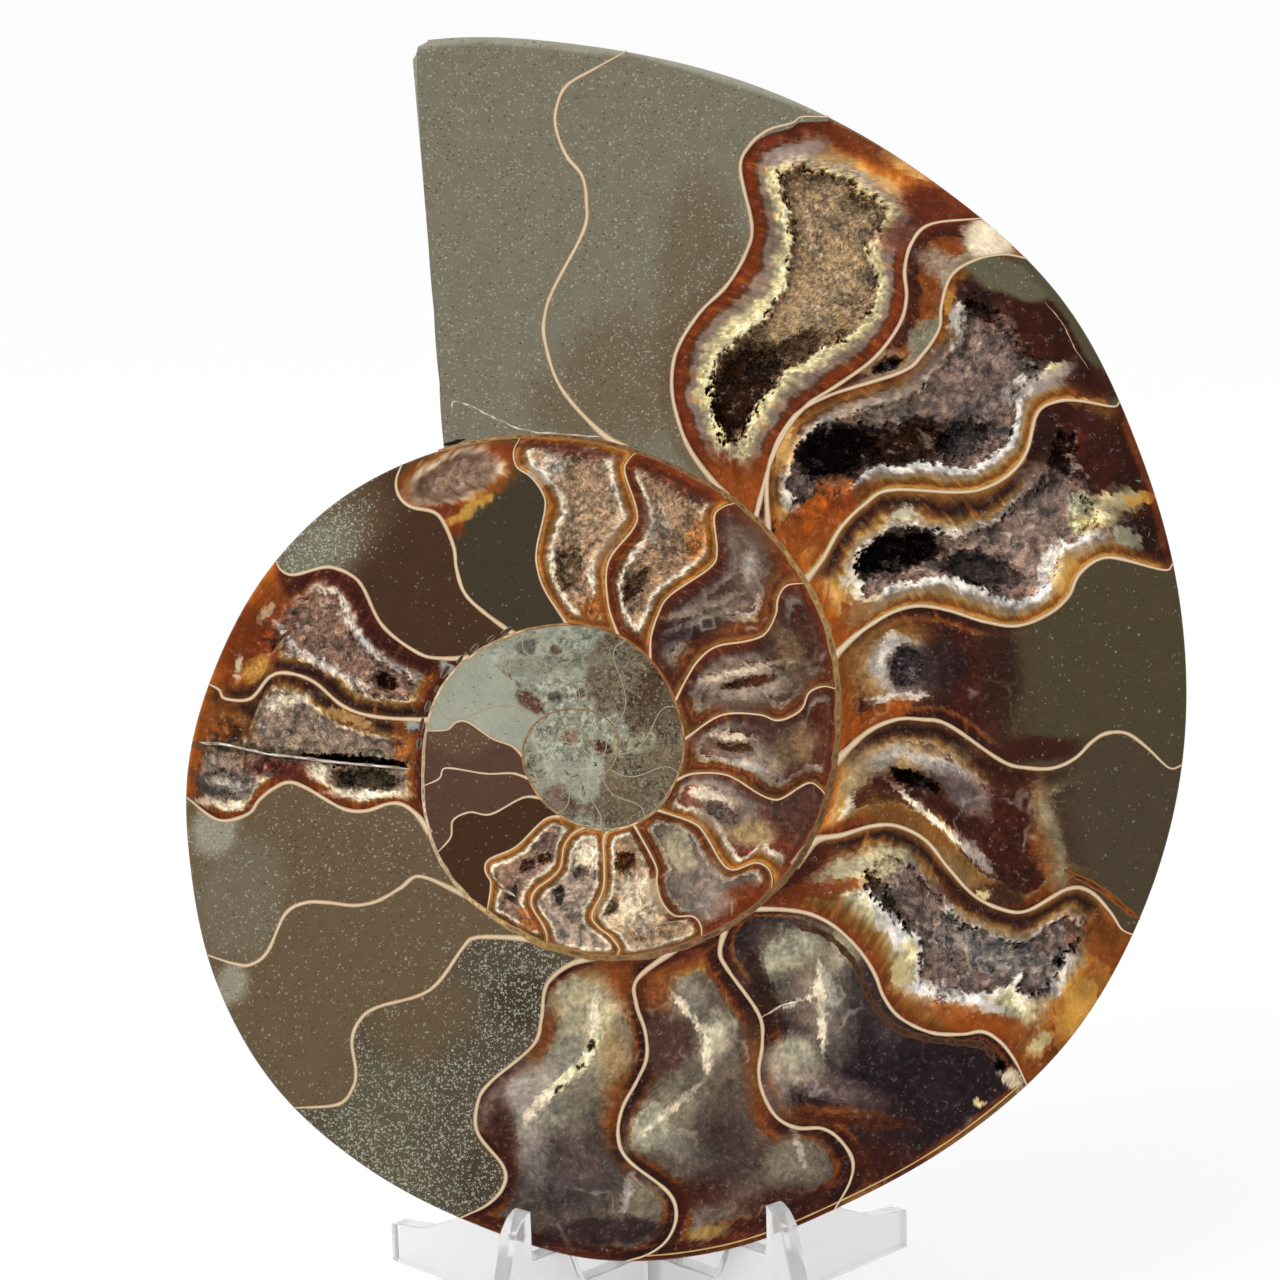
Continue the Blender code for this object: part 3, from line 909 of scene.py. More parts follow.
class StoneFinish(Coat):
    """The sawn and polished face: crystal filling, crystal hollows and mud, told apart by the mesh."""

    finish = Finish.STONE
    gloss = 0.16
    mud_gloss = 0.3
    hollow_gloss = 0.42

    def build(self) -> None:
        """Adds the nodes."""
        self.mud, self.sunk = self.field("mud"), self.field("sunk")
        crystal = 1.0 - self.mud
        tint = self.mud_colour(self.crystal_colour(crystal))
        gloss = self.gloss + self.mud * (self.mud_gloss - self.gloss)
        gloss = gloss + self.sunk * (self.hollow_gloss - self.gloss) + self.noise(self.spot, 0.6, 4.0) * 0.08
        grain = self.cells(self.spot, 1.3) * 0.7 + self.cells(self.spot, 3.4) * 0.35
        height = grain * self.sunk + self.noise(self.spot, 3.0) * 0.02
        self.end(self.surface(base_color=tint, roughness=gloss, specular_ior_level=0.06,
                              normal=self.bump(height, 0.9, 0.0006)))

    def crystal_colour(self, crystal: Sock) -> Sock:
        """Adds fibres, clouds, painted facet shading and painted glints to the crystal filling.

        Args:
            crystal: 1 in crystal and 0 in mud.

        Returns:
            The colour.
        """
        tint, reach, coarse = self.field("tint", "Color"), self.field("reach", "Vector"), self.field("coarse")
        near = 1.0 - self.add("ShaderNodeSeparateXYZ", {}, {0: reach}).eased(1.0, 3.5)
        fibres = self.noise(self.stretched(reach, (0.6, 4.0, 1.0)), 1.0, 4.0, 0.6)
        cloud, fine = self.noise(self.spot, 0.9, 5.0, 0.62), self.noise(self.spot, 6.0, 4.0, 0.7)
        level = 1.0 + (fibres - 0.5) * near * (1.1 - self.sunk) + (cloud - 0.5) * 0.9
        level = level + (fine - 0.5) * (0.3 + self.sunk * (0.5 - coarse * 0.3))
        small, large = self.facets(3.0), self.facets(1.4)
        facets = small + (large - small) * coarse.eased(0.3, 0.9)
        level = (level + (facets - 0.45) * (0.12 + self.sunk * 0.6)).math("MAXIMUM", 0.12)
        # Painted glints: the brightest facets under bright clouds are mixed towards quartz white.
        glint = facets.eased(0.86, 0.98) * cloud.eased(0.45, 0.65) * crystal
        return self.mix(glint * 0.4, self.scaled(tint, 1.0 + (level - 1.0) * crystal), Tone.QUARTZ)

    def facets(self, scale: float) -> Sock:
        """Painted crystal faces, each with its own brightness, painted lighter towards its middle and along
        its ridges as painted highlights.

        Args:
            scale: faces to the millimetre.

        Returns:
            Brightness from about 0 to 1.
        """
        bent = self.pushed(self.spot, scale * 1.2, 0.2 / scale, self.spot)
        own, middle = self.lots(bent, scale), self.cells(bent, scale)
        ridge = 1.0 - self.cells(bent, scale, "DISTANCE_TO_EDGE").eased(0.0, 0.07)
        return own * 0.75 + (1.0 - middle * 1.1) * 0.25 + ridge * own * 0.35

    def mud_colour(self, tint: Sock) -> Sock:
        """Adds blotches, pale flecks and dark pits to the mud.

        Args:
            tint: the colour below.

        Returns:
            The colour.
        """
        fleck, blotch = self.field("fleck"), self.noise(self.spot, 0.35, 5.0, 0.65)
        grain, crowd = self.noise(self.spot, 4.2, 4.0, 0.75), fleck * fleck
        tint = self.scaled(tint, 1.0 + ((blotch - 0.5) * 0.4 + (grain - 0.5) * 0.8) * self.mud)
        for scale, widest, share in ((1.2, 0.26, 0.15), (2.1, 0.4, 0.8), (3.2, 0.46, 1.0)):
            moved = self.pushed(self.spot, 2.4, 0.7, self.scaled(self.spot, 1.0 + 0.013 * scale))
            chosen = (self.lots(moved, scale) + crowd * 0.6 * share).eased(0.965, 1.02)
            spots = chosen * (widest - self.cells(moved, scale)).eased(0.0, 0.1) * self.mud
            tint = self.mix(spots * (0.45 + 0.4 * crowd), tint, Tone.FROST)
        drawn = self.stretched(self.spot, (1.0, 1.0, 1.4))
        dark = (0.24 - self.cells(drawn, 1.1)).eased(0.0, 0.1) * self.lots(drawn, 1.1, 1).eased(0.7, 0.85)
        return self.mix(dark * self.mud * 0.65, tint, Tone.COCOA)


class LineFinish(Coat):
    """Shell material: the septa, the whorl wall and the healed cracks."""

    finish = Finish.LINES
    gloss = 0.28

    def build(self) -> None:
        """Adds the nodes."""
        grain, fine = self.noise(self.spot, 3.4, 4.0, 0.65), self.noise(self.spot, 9.0, 2.0)
        tint = self.scaled(self.field("tint", "Color"), 0.62 + grain * 0.5 + fine * 0.22)
        skin = self.field("across").math("ABSOLUTE").eased(0.55, 1.0) * grain.eased(0.35, 0.65)
        self.end(self.surface(base_color=self.mix(skin * 0.55, tint, Tone.TEAK),
                              roughness=self.gloss + grain * 0.15, specular_ior_level=0.1,
                              normal=self.bump(grain + fine * 0.4, 0.25, 0.0001)))


class ShellFinish(Coat):
    """The outside of the shell: worn brown shell with ribs, growth lines and a little pearl."""

    finish = Finish.SHELL
    gloss = 0.34

    def build(self) -> None:
        """Adds the nodes."""
        cloud, grain = self.noise(self.spot, 0.12, 5.0, 0.6), self.noise(self.spot, 1.8, 5.0, 0.65)
        lines = self.noise(self.stretched(self.field("reach", "Vector"), (0.03, 1.4, 1.0)), 1.0)
        tint = self.scaled(self.field("tint", "Color"), 0.42 + cloud * 0.55 + grain * 0.4 + lines * 0.3)
        chips = (cloud + grain * 0.4).eased(0.78, 0.86)
        self.end(self.surface(base_color=self.mix(chips * 0.6, tint, Tone.DUST),
                              roughness=self.gloss + grain * 0.25, specular_ior_level=0.35,
                              coat_weight=cloud.eased(0.5, 0.7) * 0.25, coat_roughness=0.2,
                              normal=self.bump(grain + lines * 0.8, 0.4, 0.0004)))


class AcrylicFinish(Coat):
    """Clear polished acrylic with faint handling marks."""

    finish = Finish.ACRYLIC
    gloss = 0.01
    ior = 1.49
    clear = 0.72

    def build(self) -> None:
        """Adds the nodes."""
        haze = self.noise(self.spot, 0.15)
        marks = self.noise(self.stretched(self.spot, (1.0, 1.0, 14.0)), 0.6, 2.0)
        self.end(self.surface(base_color=(1.0, 1.0, 1.0, 1.0), transmission_weight=self.clear, ior=self.ior,
                              roughness=self.gloss + haze.eased(0.55, 0.9) * 0.05,
                              normal=self.bump(marks.eased(0.7, 0.8), 0.03, 0.00002)))


def edge_bevel(clock: ndarray) -> ndarray:
    """Width of the worn edge round the face, which carries a painted sheen, in millimetres: widest at the
    top.
    """
    return BEVEL + BEVEL_TOP * np.exp(-((clock - BEVEL_CLOCK) / BEVEL_SPREAD) ** 2)


@dataclass(frozen=True)
class Chamber:
    """The filling between one septum and the next: its linings, in the order of Side, and its middle."""

    number: int
    core: Tone
    mud: float = 0.0
    fleck: float = 0.0
    linings: tuple[tuple[float, Growth], ...] = ()
    grain: float = 0.5
    depth: float = 0.0
    layers: tuple[Band | Spot, ...] = ()
    pools: tuple[Pool, ...] = ()

    @property
    def spacing(self) -> float:
        """Distance between neighbouring points of the sheet, in millimetres."""
        fine = OUTER_SPACING if self.number <= LAST_OUTER else INNER_SPACING
        return MUD_SPACING if self.mud and not self.linings else fine

    def survey(self) -> Ground:
        """Lays out the sheet's places between its two septa.

        Returns:
            The places, as arrays of columns by rows.
        """
        start, end = SEPTA[self.number:self.number + 2]
        coarse = np.linspace(0.0, 1.0, 40)
        first, last = start.clocks(coarse), end.clocks(coarse)
        foot, edge = COIL.span(first)
        reach = COIL.place(np.maximum(first, last), coarse)[2]
        rows = int(np.max(edge - foot) / self.spacing) + 2
        columns = int(np.max(np.radians(last - first) * reach) / self.spacing) + 2
        height = np.linspace(0.0, 1.0, rows)
        first, last = start.clocks(height), end.clocks(height)
        share = np.linspace(0.0, 1.0, columns)[:, None] * np.ones(rows)
        clock = first + share * (last - first)
        foot, edge = COIL.span(clock)
        height = np.ones((columns, 1)) * height
        if self.number <= LAST_OUTER:
            height = height - ease(0.75, 1.0, height) * edge_bevel(clock) / (edge - foot)
        x, z, radius = COIL.place(clock, height)
        gaps = []
        for border in (first, last):
            lean = np.gradient(np.radians(border)) / np.maximum(np.gradient(radius[0]), 1e-6)
            gaps.append(np.abs(np.radians(clock - border)) * radius / np.hypot(1.0, radius * lean))
        return Ground(x, z, clock, radius, share, height, *gaps, height * (edge - foot),
                      (1.0 - height) * (edge - foot), 1000 + 37 * self.number)

    def line(self, ground: Ground) -> tuple[ndarray, ndarray]:
        """Grows the linings in from the borders.

        Args:
            ground: the chamber's places.

        Returns:
            How far through the lining each place is, past 1 in the middle, and the linings' colours.
        """
        swell = 1.0 + ground.ragged(6.0, 0.26, 70)
        shares = [getattr(ground, side.value) / (thick * swell)
                  for side, (thick, _) in zip(Side, self.linings)]
        place = np.maximum(-np.log(sum(np.exp(-7.0 * share) for share in shares)) / 7.0, 0.0)
        blur = ground.ragged(3.0, 0.13, 72, 4) + ground.ragged(0.8, 0.09, 75)
        place = place + ease(0.05, 0.4, place) * blur
        needles = crumple(ground.along(), 0.14 * ground.edge(), 0.5, ground.salt + 90)
        needles = needles * ease(0.03, 0.15, place) * (1.0 - ease(0.6, 1.0, place))
        tips = ground.tips(0.8, 80)
        steps = 0.2 * (tips.height + tips.facet - 0.95) * ease(0.4, 0.85, place)
        place = place + 0.09 * needles + steps
        weights = [np.exp(-10.0 * share)[..., None] for share in shares]
        paint = sum(weight * growth.paint(place) for weight, (_, growth) in zip(weights, self.linings))
        paint = paint / sum(weights) * (1.0 + 0.22 * needles)[..., None]
        return place, blend(paint, 0.5 * ease(0.25, 0.75, needles), Tone.AMBER)

    def colour(self, ground: Ground) -> dict[str, ndarray]:
        """Colours the sheet and sinks its hollow.

        Args:
            ground: the chamber's places.

        Returns:
            The sheet's fields, with its depth in millimetres.
        """
        none, coarse = np.zeros(ground.x.shape), 0.6 + 1.2 * self.grain
        mud, fleck, paint = none + self.mud, none + self.fleck, none[..., None] + self.core.paint
        inside, tipped, depth, open_core = none, none, none, 0.0 if self.depth else 1.0
        tips, small = ground.tips(coarse, 300), ground.tips(max(0.5 * coarse, 0.5), 400)
        if self.linings:
            place, lined = self.line(ground)
            inside, tipped = ease(0.98, 1.04, place), ease(0.55, 0.95, place)
            thick = np.mean([thick for thick, _ in self.linings])
            depth = self.depth * ease(1.0, 1.0 + 0.9 / thick, place)
            paint = lined + inside[..., None] * (paint - lined)
        for layer in self.layers:
            spots = ground
            if layer.mud == 0.0 or (layer.mud is None and not self.mud):
                spots = ground.at_tips(tips if self.depth and layer.wide > 1.6 * coarse else small)
            weight = layer.weight(spots)
            paint = blend(paint, weight, layer.tone)
            if layer.mud is not None:
                mud = mud + weight * (layer.mud - mud)
                inside, depth = inside * (1.0 - weight), depth * (1.0 - weight)
            if layer.fleck is not None:
                fleck = fleck + weight * (layer.fleck - fleck)
        for pool in self.pools:
            weight, shadow = ((inside if self.depth else 1.0) * pool.weight(spots)
                              for spots in (ground.at_tips(small), ground))
            depth = depth + pool.depth * weight
            # Painted shade: each pool's tone is laid over its floor with a soft painted shadow round it; the
            # dark tones are painted shade in the deep pit, the pale ones the crystals' colour.
            paint = blend(paint, 0.5 * weight + 0.5 * shadow**0.6, pool.tone)
        room = np.maximum(1.8 * (ground.edge() - 0.4), 0.0)
        depth = np.minimum(depth, np.minimum(room, 0.7 * COIL.back_depth(ground.clock % TURN, ground.radius)))
        depth = depth - (0.7 * tips.height + 0.3 * small.height) * np.minimum(0.8 * coarse, 0.6 * depth)
        crisp = np.maximum(ease(0.1, 0.8, depth), tipped * (0.45 if open_core else 1.0))
        crisp = (1.0 - mud) * (0.1 + 0.9 * crisp)
        large = ground.tips(2.3 * coarse, 500)
        # Painted light and shade on the crystals: each facet of a tip gets its own brightness, and the tips
        # are painted lighter than the valleys between them.
        level = 1.0 + crisp * (0.04 + 0.42 * (tips.facet - 0.5) + 0.26 * (small.facet - 0.5)
                               + 0.35 * (large.facet - 0.5) + 0.45 * (tips.height - 0.4)
                               + 0.25 * (large.height - 0.4))
        level = level + ground.ragged(3.4, 0.26, 50, 4) * (1.0 - mud)
        warm = 0.05 * crisp * (tips.facet + large.facet - 1.0)
        paint = paint * (level[..., None] + warm[..., None] * (1.0, 0.1, -1.0))
        # Painted glints: the brightest facets are painted towards chalk white; the same mask then also
        # carries the pale seams, which are real veins.
        glint = np.maximum(crisp - 0.4, 0.0) * ease(0.9, 0.96, tips.facet) * ease(0.3, 0.6, small.facet)
        seam = (1.0 - ease(0.0, 0.05, np.abs(ground.ragged(8.0, 1.0, 60, 4)))) * (1.0 - mud)
        seam = 0.5 * open_core * seam * ease(0.0, 0.5, ground.ragged(5.0, 1.0, 61))
        glint = np.maximum(glint, seam * ease(0.6, 1.5, ground.edge()))
        return {"tint": blend(paint, glint, Tone.CHALK), "mud": mud, "fleck": fleck, "depth": depth,
                "sunk": ease(0.1, 0.8, depth)}

    def build(self) -> Object:
        """Makes the chamber's piece.

        Returns:
            The piece.
        """
        ground = self.survey()
        fields = self.colour(ground)
        order = np.full(ground.x.shape, float(self.number))
        fields["reach"] = np.stack((ground.edge(), ground.along(), order), -1)
        points = np.stack((ground.x, fields.pop("depth"), ground.z), -1)
        if self.number <= LAST_OUTER:
            points = self.turn_edge(ground, points, fields)
        return make_piece(f"chamber_{self.number:02d}", points, Finish.STONE, fields | {"coarse": self.grain})

    def turn_edge(self, ground: Ground, points: ndarray, fields: dict[str, ndarray]) -> ndarray:
        """Carries the sheet over the worn edge and down the outside, with a painted sheen on the edge.

        Args:
            ground: the chamber's places.
            points: the sheet's points.
            fields: the sheet's fields, which grow with it.

        Returns:
            The longer sheet's points.
        """
        clock = ground.clock[:, -1:]
        edge, bevel = COIL.radius(clock), edge_bevel(clock)
        x, z = swing(np.hstack((edge - 0.3 * bevel, edge, edge)), clock)
        down = np.hstack((np.minimum(0.2 * bevel, 0.9), np.minimum(bevel, 0.9), 0.0 * edge + RIM_THICKNESS))
        # Painted sheen: the worn edge's rows are painted towards frost, most where the edge is widest, at the
        # top.
        wear_and_sheen = np.minimum(bevel, 1.0) * (0.8, 0.7, 0.0)
        for name, values in fields.items():
            tail = np.repeat(values[:, -1:], 3, axis=1)
            if name == "tint":
                tail = blend(tail, wear_and_sheen, Tone.FROST)
            fields[name] = np.concatenate((values, tail), axis=1)
        return np.concatenate((points, np.stack((x, down, z), -1)), axis=1)


def lay_ribbon(name: str, line: ndarray, half: ndarray, core: ndarray, skin: ndarray,
               proud: float = 0.04, depth: float = 1.2) -> None:
    """Lets a strip of shell into the face: a narrow wall seen on edge.

    Args:
        name: the piece's name.
        line: places along its middle, in millimetres.
        half: half its width at each place.
        core: display colour of its middle, for all places or for each.
        skin: display colour of its edges, in the same way.
        proud: how far its middle stands out of the face.
        depth: how far its sides reach into the stone.
    """
    run = np.gradient(line, axis=0)
    run = run / np.maximum(np.linalg.norm(run, axis=1, keepdims=True), 1e-9)
    across = np.array((-1.0, -1.0, -0.9, -0.62, -0.3, 0.0, 0.3, 0.62, 0.9, 1.0, 1.0))
    crest = proud * np.array((-0.6, -0.85, -0.95, -1.0, -0.95, -0.85, -0.6))
    x = line[:, :1] + across * half[:, None] * run[:, 1:]
    z = line[:, 1:] - across * half[:, None] * run[:, :1]
    points = np.stack((x, 0.0 * x + np.array((depth, 0.02, *crest, 0.02, depth)), z), -1)
    core, skin = (np.broadcast_to(paint, (len(line), 3))[:, None] for paint in (core, skin))
    paint = core + ease(0.35, 0.8, np.abs(across))[:, None] * (skin - core)
    rows, last = len(across), (len(line) - 1) * len(across)
    caps = (range(rows)[::-1], range(last, last + rows))
    make_piece(name, points, Finish.LINES, {"tint": paint, "across": across}, caps)


@dataclass(frozen=True)
class WhorlWall:
    """The spiral wall between the whorls, with its granular filling.

    Each zone holds the clock angle that it starts at, half its width, and the tones of middle and edges.
    """

    zones: tuple[tuple[float, float, Tone, Tone], ...]
    stop: float = 1245.0
    step: float = 0.35

    def build(self) -> None:
        """Makes the wall."""
        clock = np.arange(CREASE_CLOCK - 1.0, self.stop, self.step)
        marks, halves, cores, skins = zip(*self.zones)
        core, skin, radius = ramp(clock, marks, cores), ramp(clock, marks, skins), COIL.radius(clock)
        arc = np.cumsum(np.radians(self.step) * radius)
        half = 0.75 * np.interp(clock, marks, halves) * (1.0 + 0.3 * wear(arc, 2.1, 81, 4))
        radius = radius + 0.35 * half * wear(arc, 1.7, 83, 4)
        crumbs = 1.0 + (0.4 * wear(arc, 1.3, 87, 4) + 0.3 * wear(arc, 0.5, 89, 2))[:, None]
        core, skin = (0.6 * core + 0.4 * skin) * crumbs, (0.5 * core + 0.5 * skin) * (1.5 - 0.5 * crumbs)
        lay_ribbon("whorl_wall", np.stack(swing(radius, clock), 1), half, core, skin, 0.06, 1.4)


@dataclass(frozen=True)
class Vein:
    """A healed crack or a thin layer that crosses the filling, or a black strip of painted shade in a gap."""

    name: str
    points: tuple[float, ...]
    half: float
    core: Tone
    skin: Tone

    def build(self) -> None:
        """Makes the vein."""
        line = smooth_line(self.points, 12)
        run = np.cumsum(np.linalg.norm(np.gradient(line, axis=0), axis=1))
        salt = 9000 + int(10 * abs(self.points[0]))
        line = line + 0.16 * np.stack((wear(run, 1.7, salt), wear(run, 1.7, salt + 5)), 1)
        ends = np.minimum(1.0, np.minimum(run - run[0], run[-1] - run) / 1.5 + 0.25)
        half = self.half * ends * (1.0 + 0.5 * wear(run, 0.8, salt + 9))
        crumbs = (1.0 + 0.6 * wear(run, 0.6, salt + 13))[:, None]
        core, skin = self.core.paint * crumbs, self.skin.paint * (1.5 - 0.5 * crumbs)
        lay_ribbon(self.name, line, half, core, skin, 0.03, 0.5)


@dataclass(frozen=True)
class RimShell:
    """The thin cream line of shell that still follows the lower right edge."""

    span: tuple[float, float] = (127.0, 174.0)
    inset: float = 0.75
    half: float = 0.13

    def build(self) -> None:
        """Makes the line."""
        clock = np.linspace(*self.span, 220)
        line = np.stack(swing(COIL.radius(clock) - self.inset, clock), 1)
        half = self.half * (1.0 + 0.35 * wear(clock, 1.5, 77))
        lay_ribbon("rim_shell", line, half, Tone.STRAW.paint, Tone.HONEY.paint, 0.03, 0.4)


@dataclass(frozen=True)
class WallCells:
    """Small dark cells with pale skins, strung along the outside of the inner coil's wall."""

    clocks: tuple[float, float, float] = (637.0, 690.0, 6.2)
    outset: float = 0.75
    half: float = 0.42
    reach: float = 0.9

    def build(self) -> None:
        """Makes one piece for each cell."""
        along = np.linspace(-1.0, 1.0, 11)
        for number, clock in enumerate(np.arange(*self.clocks)):
            size = 0.6 + 0.6 * float(scatter(np.array(number), np.array(3), 71))
            radius = COIL.radius(clock) + self.outset * size
            line = np.stack(swing(radius, clock + np.degrees(self.reach * size / radius) * along), 1)
            half = self.half * size * np.sqrt(1.0 - 0.9 * along**2)
            lay_ribbon(f"wall_cell_{number}", line, half, Tone.BOG.paint, Tone.DUST.paint,
                       0.05, 0.6)


@dataclass(frozen=True)
class InnerCoil:
    """The smallest whorls: a pale disc with brown stains and faint septa."""

    layers: tuple[Spot, ...]
    columns: int = 400
    rows: int = 104
    septa: tuple[float, float, float] = (662.0, 1130.0, 41.0)

    def build_disc(self) -> None:
        """Makes the filling of the inner whorls."""
        clock = np.linspace(INNER_CLOCK, INNER_CLOCK + TURN, self.columns)[:, None] * np.ones(self.rows)
        height = np.ones((self.columns, 1)) * np.linspace(0.02, 1.0, self.rows)
        radius = COIL.radius(clock) * height
        x, z = swing(radius, clock)
        far = np.full(x.shape, 20.0)
        ground = Ground(x, z, clock, radius, height, height, far, far, radius, far, 4100)
        disc = Chamber(LAST_SEPTUM + 1, Tone.PALE_MUD, mud=0.9, fleck=0.45, layers=self.layers)
        fields = disc.colour(ground)
        grains, crumbs = crystal_tips(x, z, 0.9, 4200), crystal_tips(x, z, 0.45, 4210)
        rough = ease(-0.3, 0.3, crumple(x, z, 5.0, 4220))
        level = 1.0 + 0.16 * crumple(x, z, 3.0, 4200, 4)
        level = level * (1.0 + (0.2 + 0.35 * rough) * (grains.facet + crumbs.facet - 1.0))
        paint = fields["tint"] * level[..., None]
        paint = blend(paint, (0.25 + 0.5 * rough) * ease(0.5, 0.9, crumbs.facet), Tone.MOSS_GREY)
        spots = ease(0.955, 0.97, grains.facet) * ease(0.35, 0.6, grains.height)
        points = np.stack((x, 0.0 * x, z), -1)
        fields = {"tint": blend(paint, 0.7 * spots, Tone.PLUM_MUD), "mud": fields["mud"],
                  "fleck": fields["fleck"], "sunk": 0.0, "coarse": 0.0, "reach": points}
        make_piece("inner_coil", points, Finish.STONE, fields, (range(0, x.size, self.rows),))

    def build_septa(self) -> None:
        """Makes the faint septa of the inner whorls, one curve each."""
        height = np.linspace(0.0, 1.0, 24)
        sway = 7.0 * np.sin(2.0 * np.pi * height) - 10.0 * height
        for number, clock in enumerate(np.arange(*self.septa)):
            x, z, radius = COIL.place(clock + sway, height)
            half = 0.09 * (1.0 + 0.4 * wear(radius, 0.8, 60 + number))
            lay_ribbon(f"inner_septum_{number:02d}", np.stack((x, z), 1), half, Tone.SAGE.paint,
                       Tone.DUST.paint, 0.02, 0.3)


@dataclass(frozen=True)
class Outside:
    """The domed back of the shell and the saw cut at its mouth."""

    columns: int = 380
    rings: int = 124
    rib_height: float = 0.22
    ribs: int = 46
    suture_step: float = 19.0
    mouth_mud: tuple[float, float] = (-12.0, 22.0)
    side_mud: tuple[float, float, float, float] = (190.0, 214.0, 250.0, 272.0)
    cut_rows: int = 26
    skirt: float = 4.0

    def build_back(self) -> Object:
        """Makes the domed back with its ribs and the pit at its middle.

        Its paint is lighter on the ribs' crests and darker between them, with mud by the mouth and the
        frilled lines where septa meet the shell.

        Returns:
            The piece.
        """
        turn = np.linspace(1.0, 0.0, self.columns)[:, None]
        ring = 1.0 - (1.0 - np.linspace(0.0, 1.0, self.rings)) ** 1.6 * np.ones((self.columns, 1))
        radius = 60.0 * ring
        for _ in range(14):
            clock = COIL.mouth_clock(radius) + TURN * turn
            radius = ring * COIL.radius(clock)
        x, z = swing(radius, clock)
        share = radius / COIL.radius(clock)
        rib = 0.5 + 0.5 * np.cos(2.0 * np.pi * (clock / TURN * self.ribs + 5.0 * (share - 0.5) ** 2))
        cover = ease(0.2, 0.35, ring) * (1.0 - ease(0.9, 0.99, ring))
        wear_and_sheen = ease(-0.5, 0.4, crumple(x, z, 30.0, 55))
        depth = COIL.back_depth(clock, radius) - self.rib_height * (1.0 - rib) * cover * (0.35 + 0.65 * wear_and_sheen)
        brown = ease(-0.35, 0.35, crumple(x, z, 26.0, 301, 4))
        side = ease(*self.side_mud[:2], clock) * (1.0 - ease(*self.side_mud[2:], clock))
        mud = np.maximum(1.0 - ease(*self.mouth_mud, clock + crumple(x, z, 12.0, 305) * 9.0), side)
        frill = 0.16 * np.sin(share * 31.0) + 0.09 * np.sin(share * 73.0) + 0.05 * np.sin(share * 151.0)
        turns = (clock / self.suture_step + frill + 0.4 * share) % 1.0
        suture = (1.0 - ease(0.0, 0.05, np.abs(turns - 0.5))) * cover
        paint = blend(Tone.FAWN.paint, 0.8 * brown, Tone.UMBER)
        paint = blend(blend(paint, 0.75 * mud, Tone.MUD), 0.6 * suture, Tone.WINE)
        # Lighter along the ribs' crests and darker between them.
        paint = paint * (0.8 + 0.25 * rib * cover)[..., None]
        reach = np.stack((radius, np.radians(clock) * radius, ring), -1)
        return make_piece("shell_back", np.stack((x, depth, z), -1), Finish.SHELL,
                          {"tint": paint, "reach": reach})

    def build_mouth(self, sheet: Object, back: Object) -> None:
        """Makes the flat saw cut across the mouth, and the step behind it down to the pit.

        The step joins the first and the last row of the back's own points, so nothing gapes between them.

        Args:
            sheet: the first chamber's piece, whose first column of points runs along the cut.
            back: the domed back.
        """
        front = corners(sheet)[:sheet.data.polygons[0].vertices[1]]
        reach, foot = np.hypot(front[:, 0], front[:, 2]), MOUTH_OFFSET - self.skirt
        rim = corners(back).reshape(self.columns, self.rings, 3)[[-1, 0]]
        rows = np.hypot(rim[..., 0], rim[..., 2])
        low = np.unique(np.append(rows, (foot, MOUTH_OFFSET, reach[0])))
        low = low[(low >= foot) & (low <= reach[0])]
        deep, near = (np.interp(self.way(low), self.way(row), edge[:, 1]) for row, edge in zip(rows, rim))
        self.cut("mouth_cut", reach, front[:, 1], COIL.back_depth(COIL.mouth_clock(reach), reach), front)
        self.cut("step_cut", low, near - 0.3, deep)

    def way(self, reach: ndarray) -> ndarray:
        """Distance along the saw cut from its foot, for distances from the centre."""
        return np.sqrt(np.maximum(reach**2 - MOUTH_OFFSET**2, 0.0)) - np.maximum(MOUTH_OFFSET - reach, 0.0)

    def cut(self, name: str, reach: ndarray, near: ndarray, deep: ndarray,
            front: ndarray | None = None) -> None:
        """Makes part of the saw cut.

        Args:
            name: the piece's name.
            reach: distances from the centre.
            near: depth at which the cut begins at each distance.
            deep: depth at which it ends.
            front: points that replace its first row.
        """
        radius, near, deep = reach[:, None] * np.ones(self.cut_rows), near[:, None], deep[:, None]
        depth = near + (deep - near) * np.linspace(0.0, 1.0, self.cut_rows)
        x, z = swing(radius, COIL.mouth_clock(radius))
        points = np.stack((x, depth, z), -1)
        paint = Tone.MUD.paint * (1.0 + 0.14 * crumple(radius, depth, 6.0, 411, 4))[..., None]
        paint = blend(paint, 0.7 * (1.0 - ease(0.3, 1.1, deep - depth)), Tone.UMBER)
        if front is not None:
            points[:, 0] = front
            # Painted sheen: the two front rows, along the edge with the polished face, are painted towards
            # frost.
            paint[:, :2] += 0.5 * (Tone.FROST.paint - paint[:, :2])
        make_piece(name, points, Finish.STONE, {"tint": paint, "reach": points, "mud": 1.0, "fleck": 0.5,
                                                "sunk": 0.0, "coarse": 0.0})


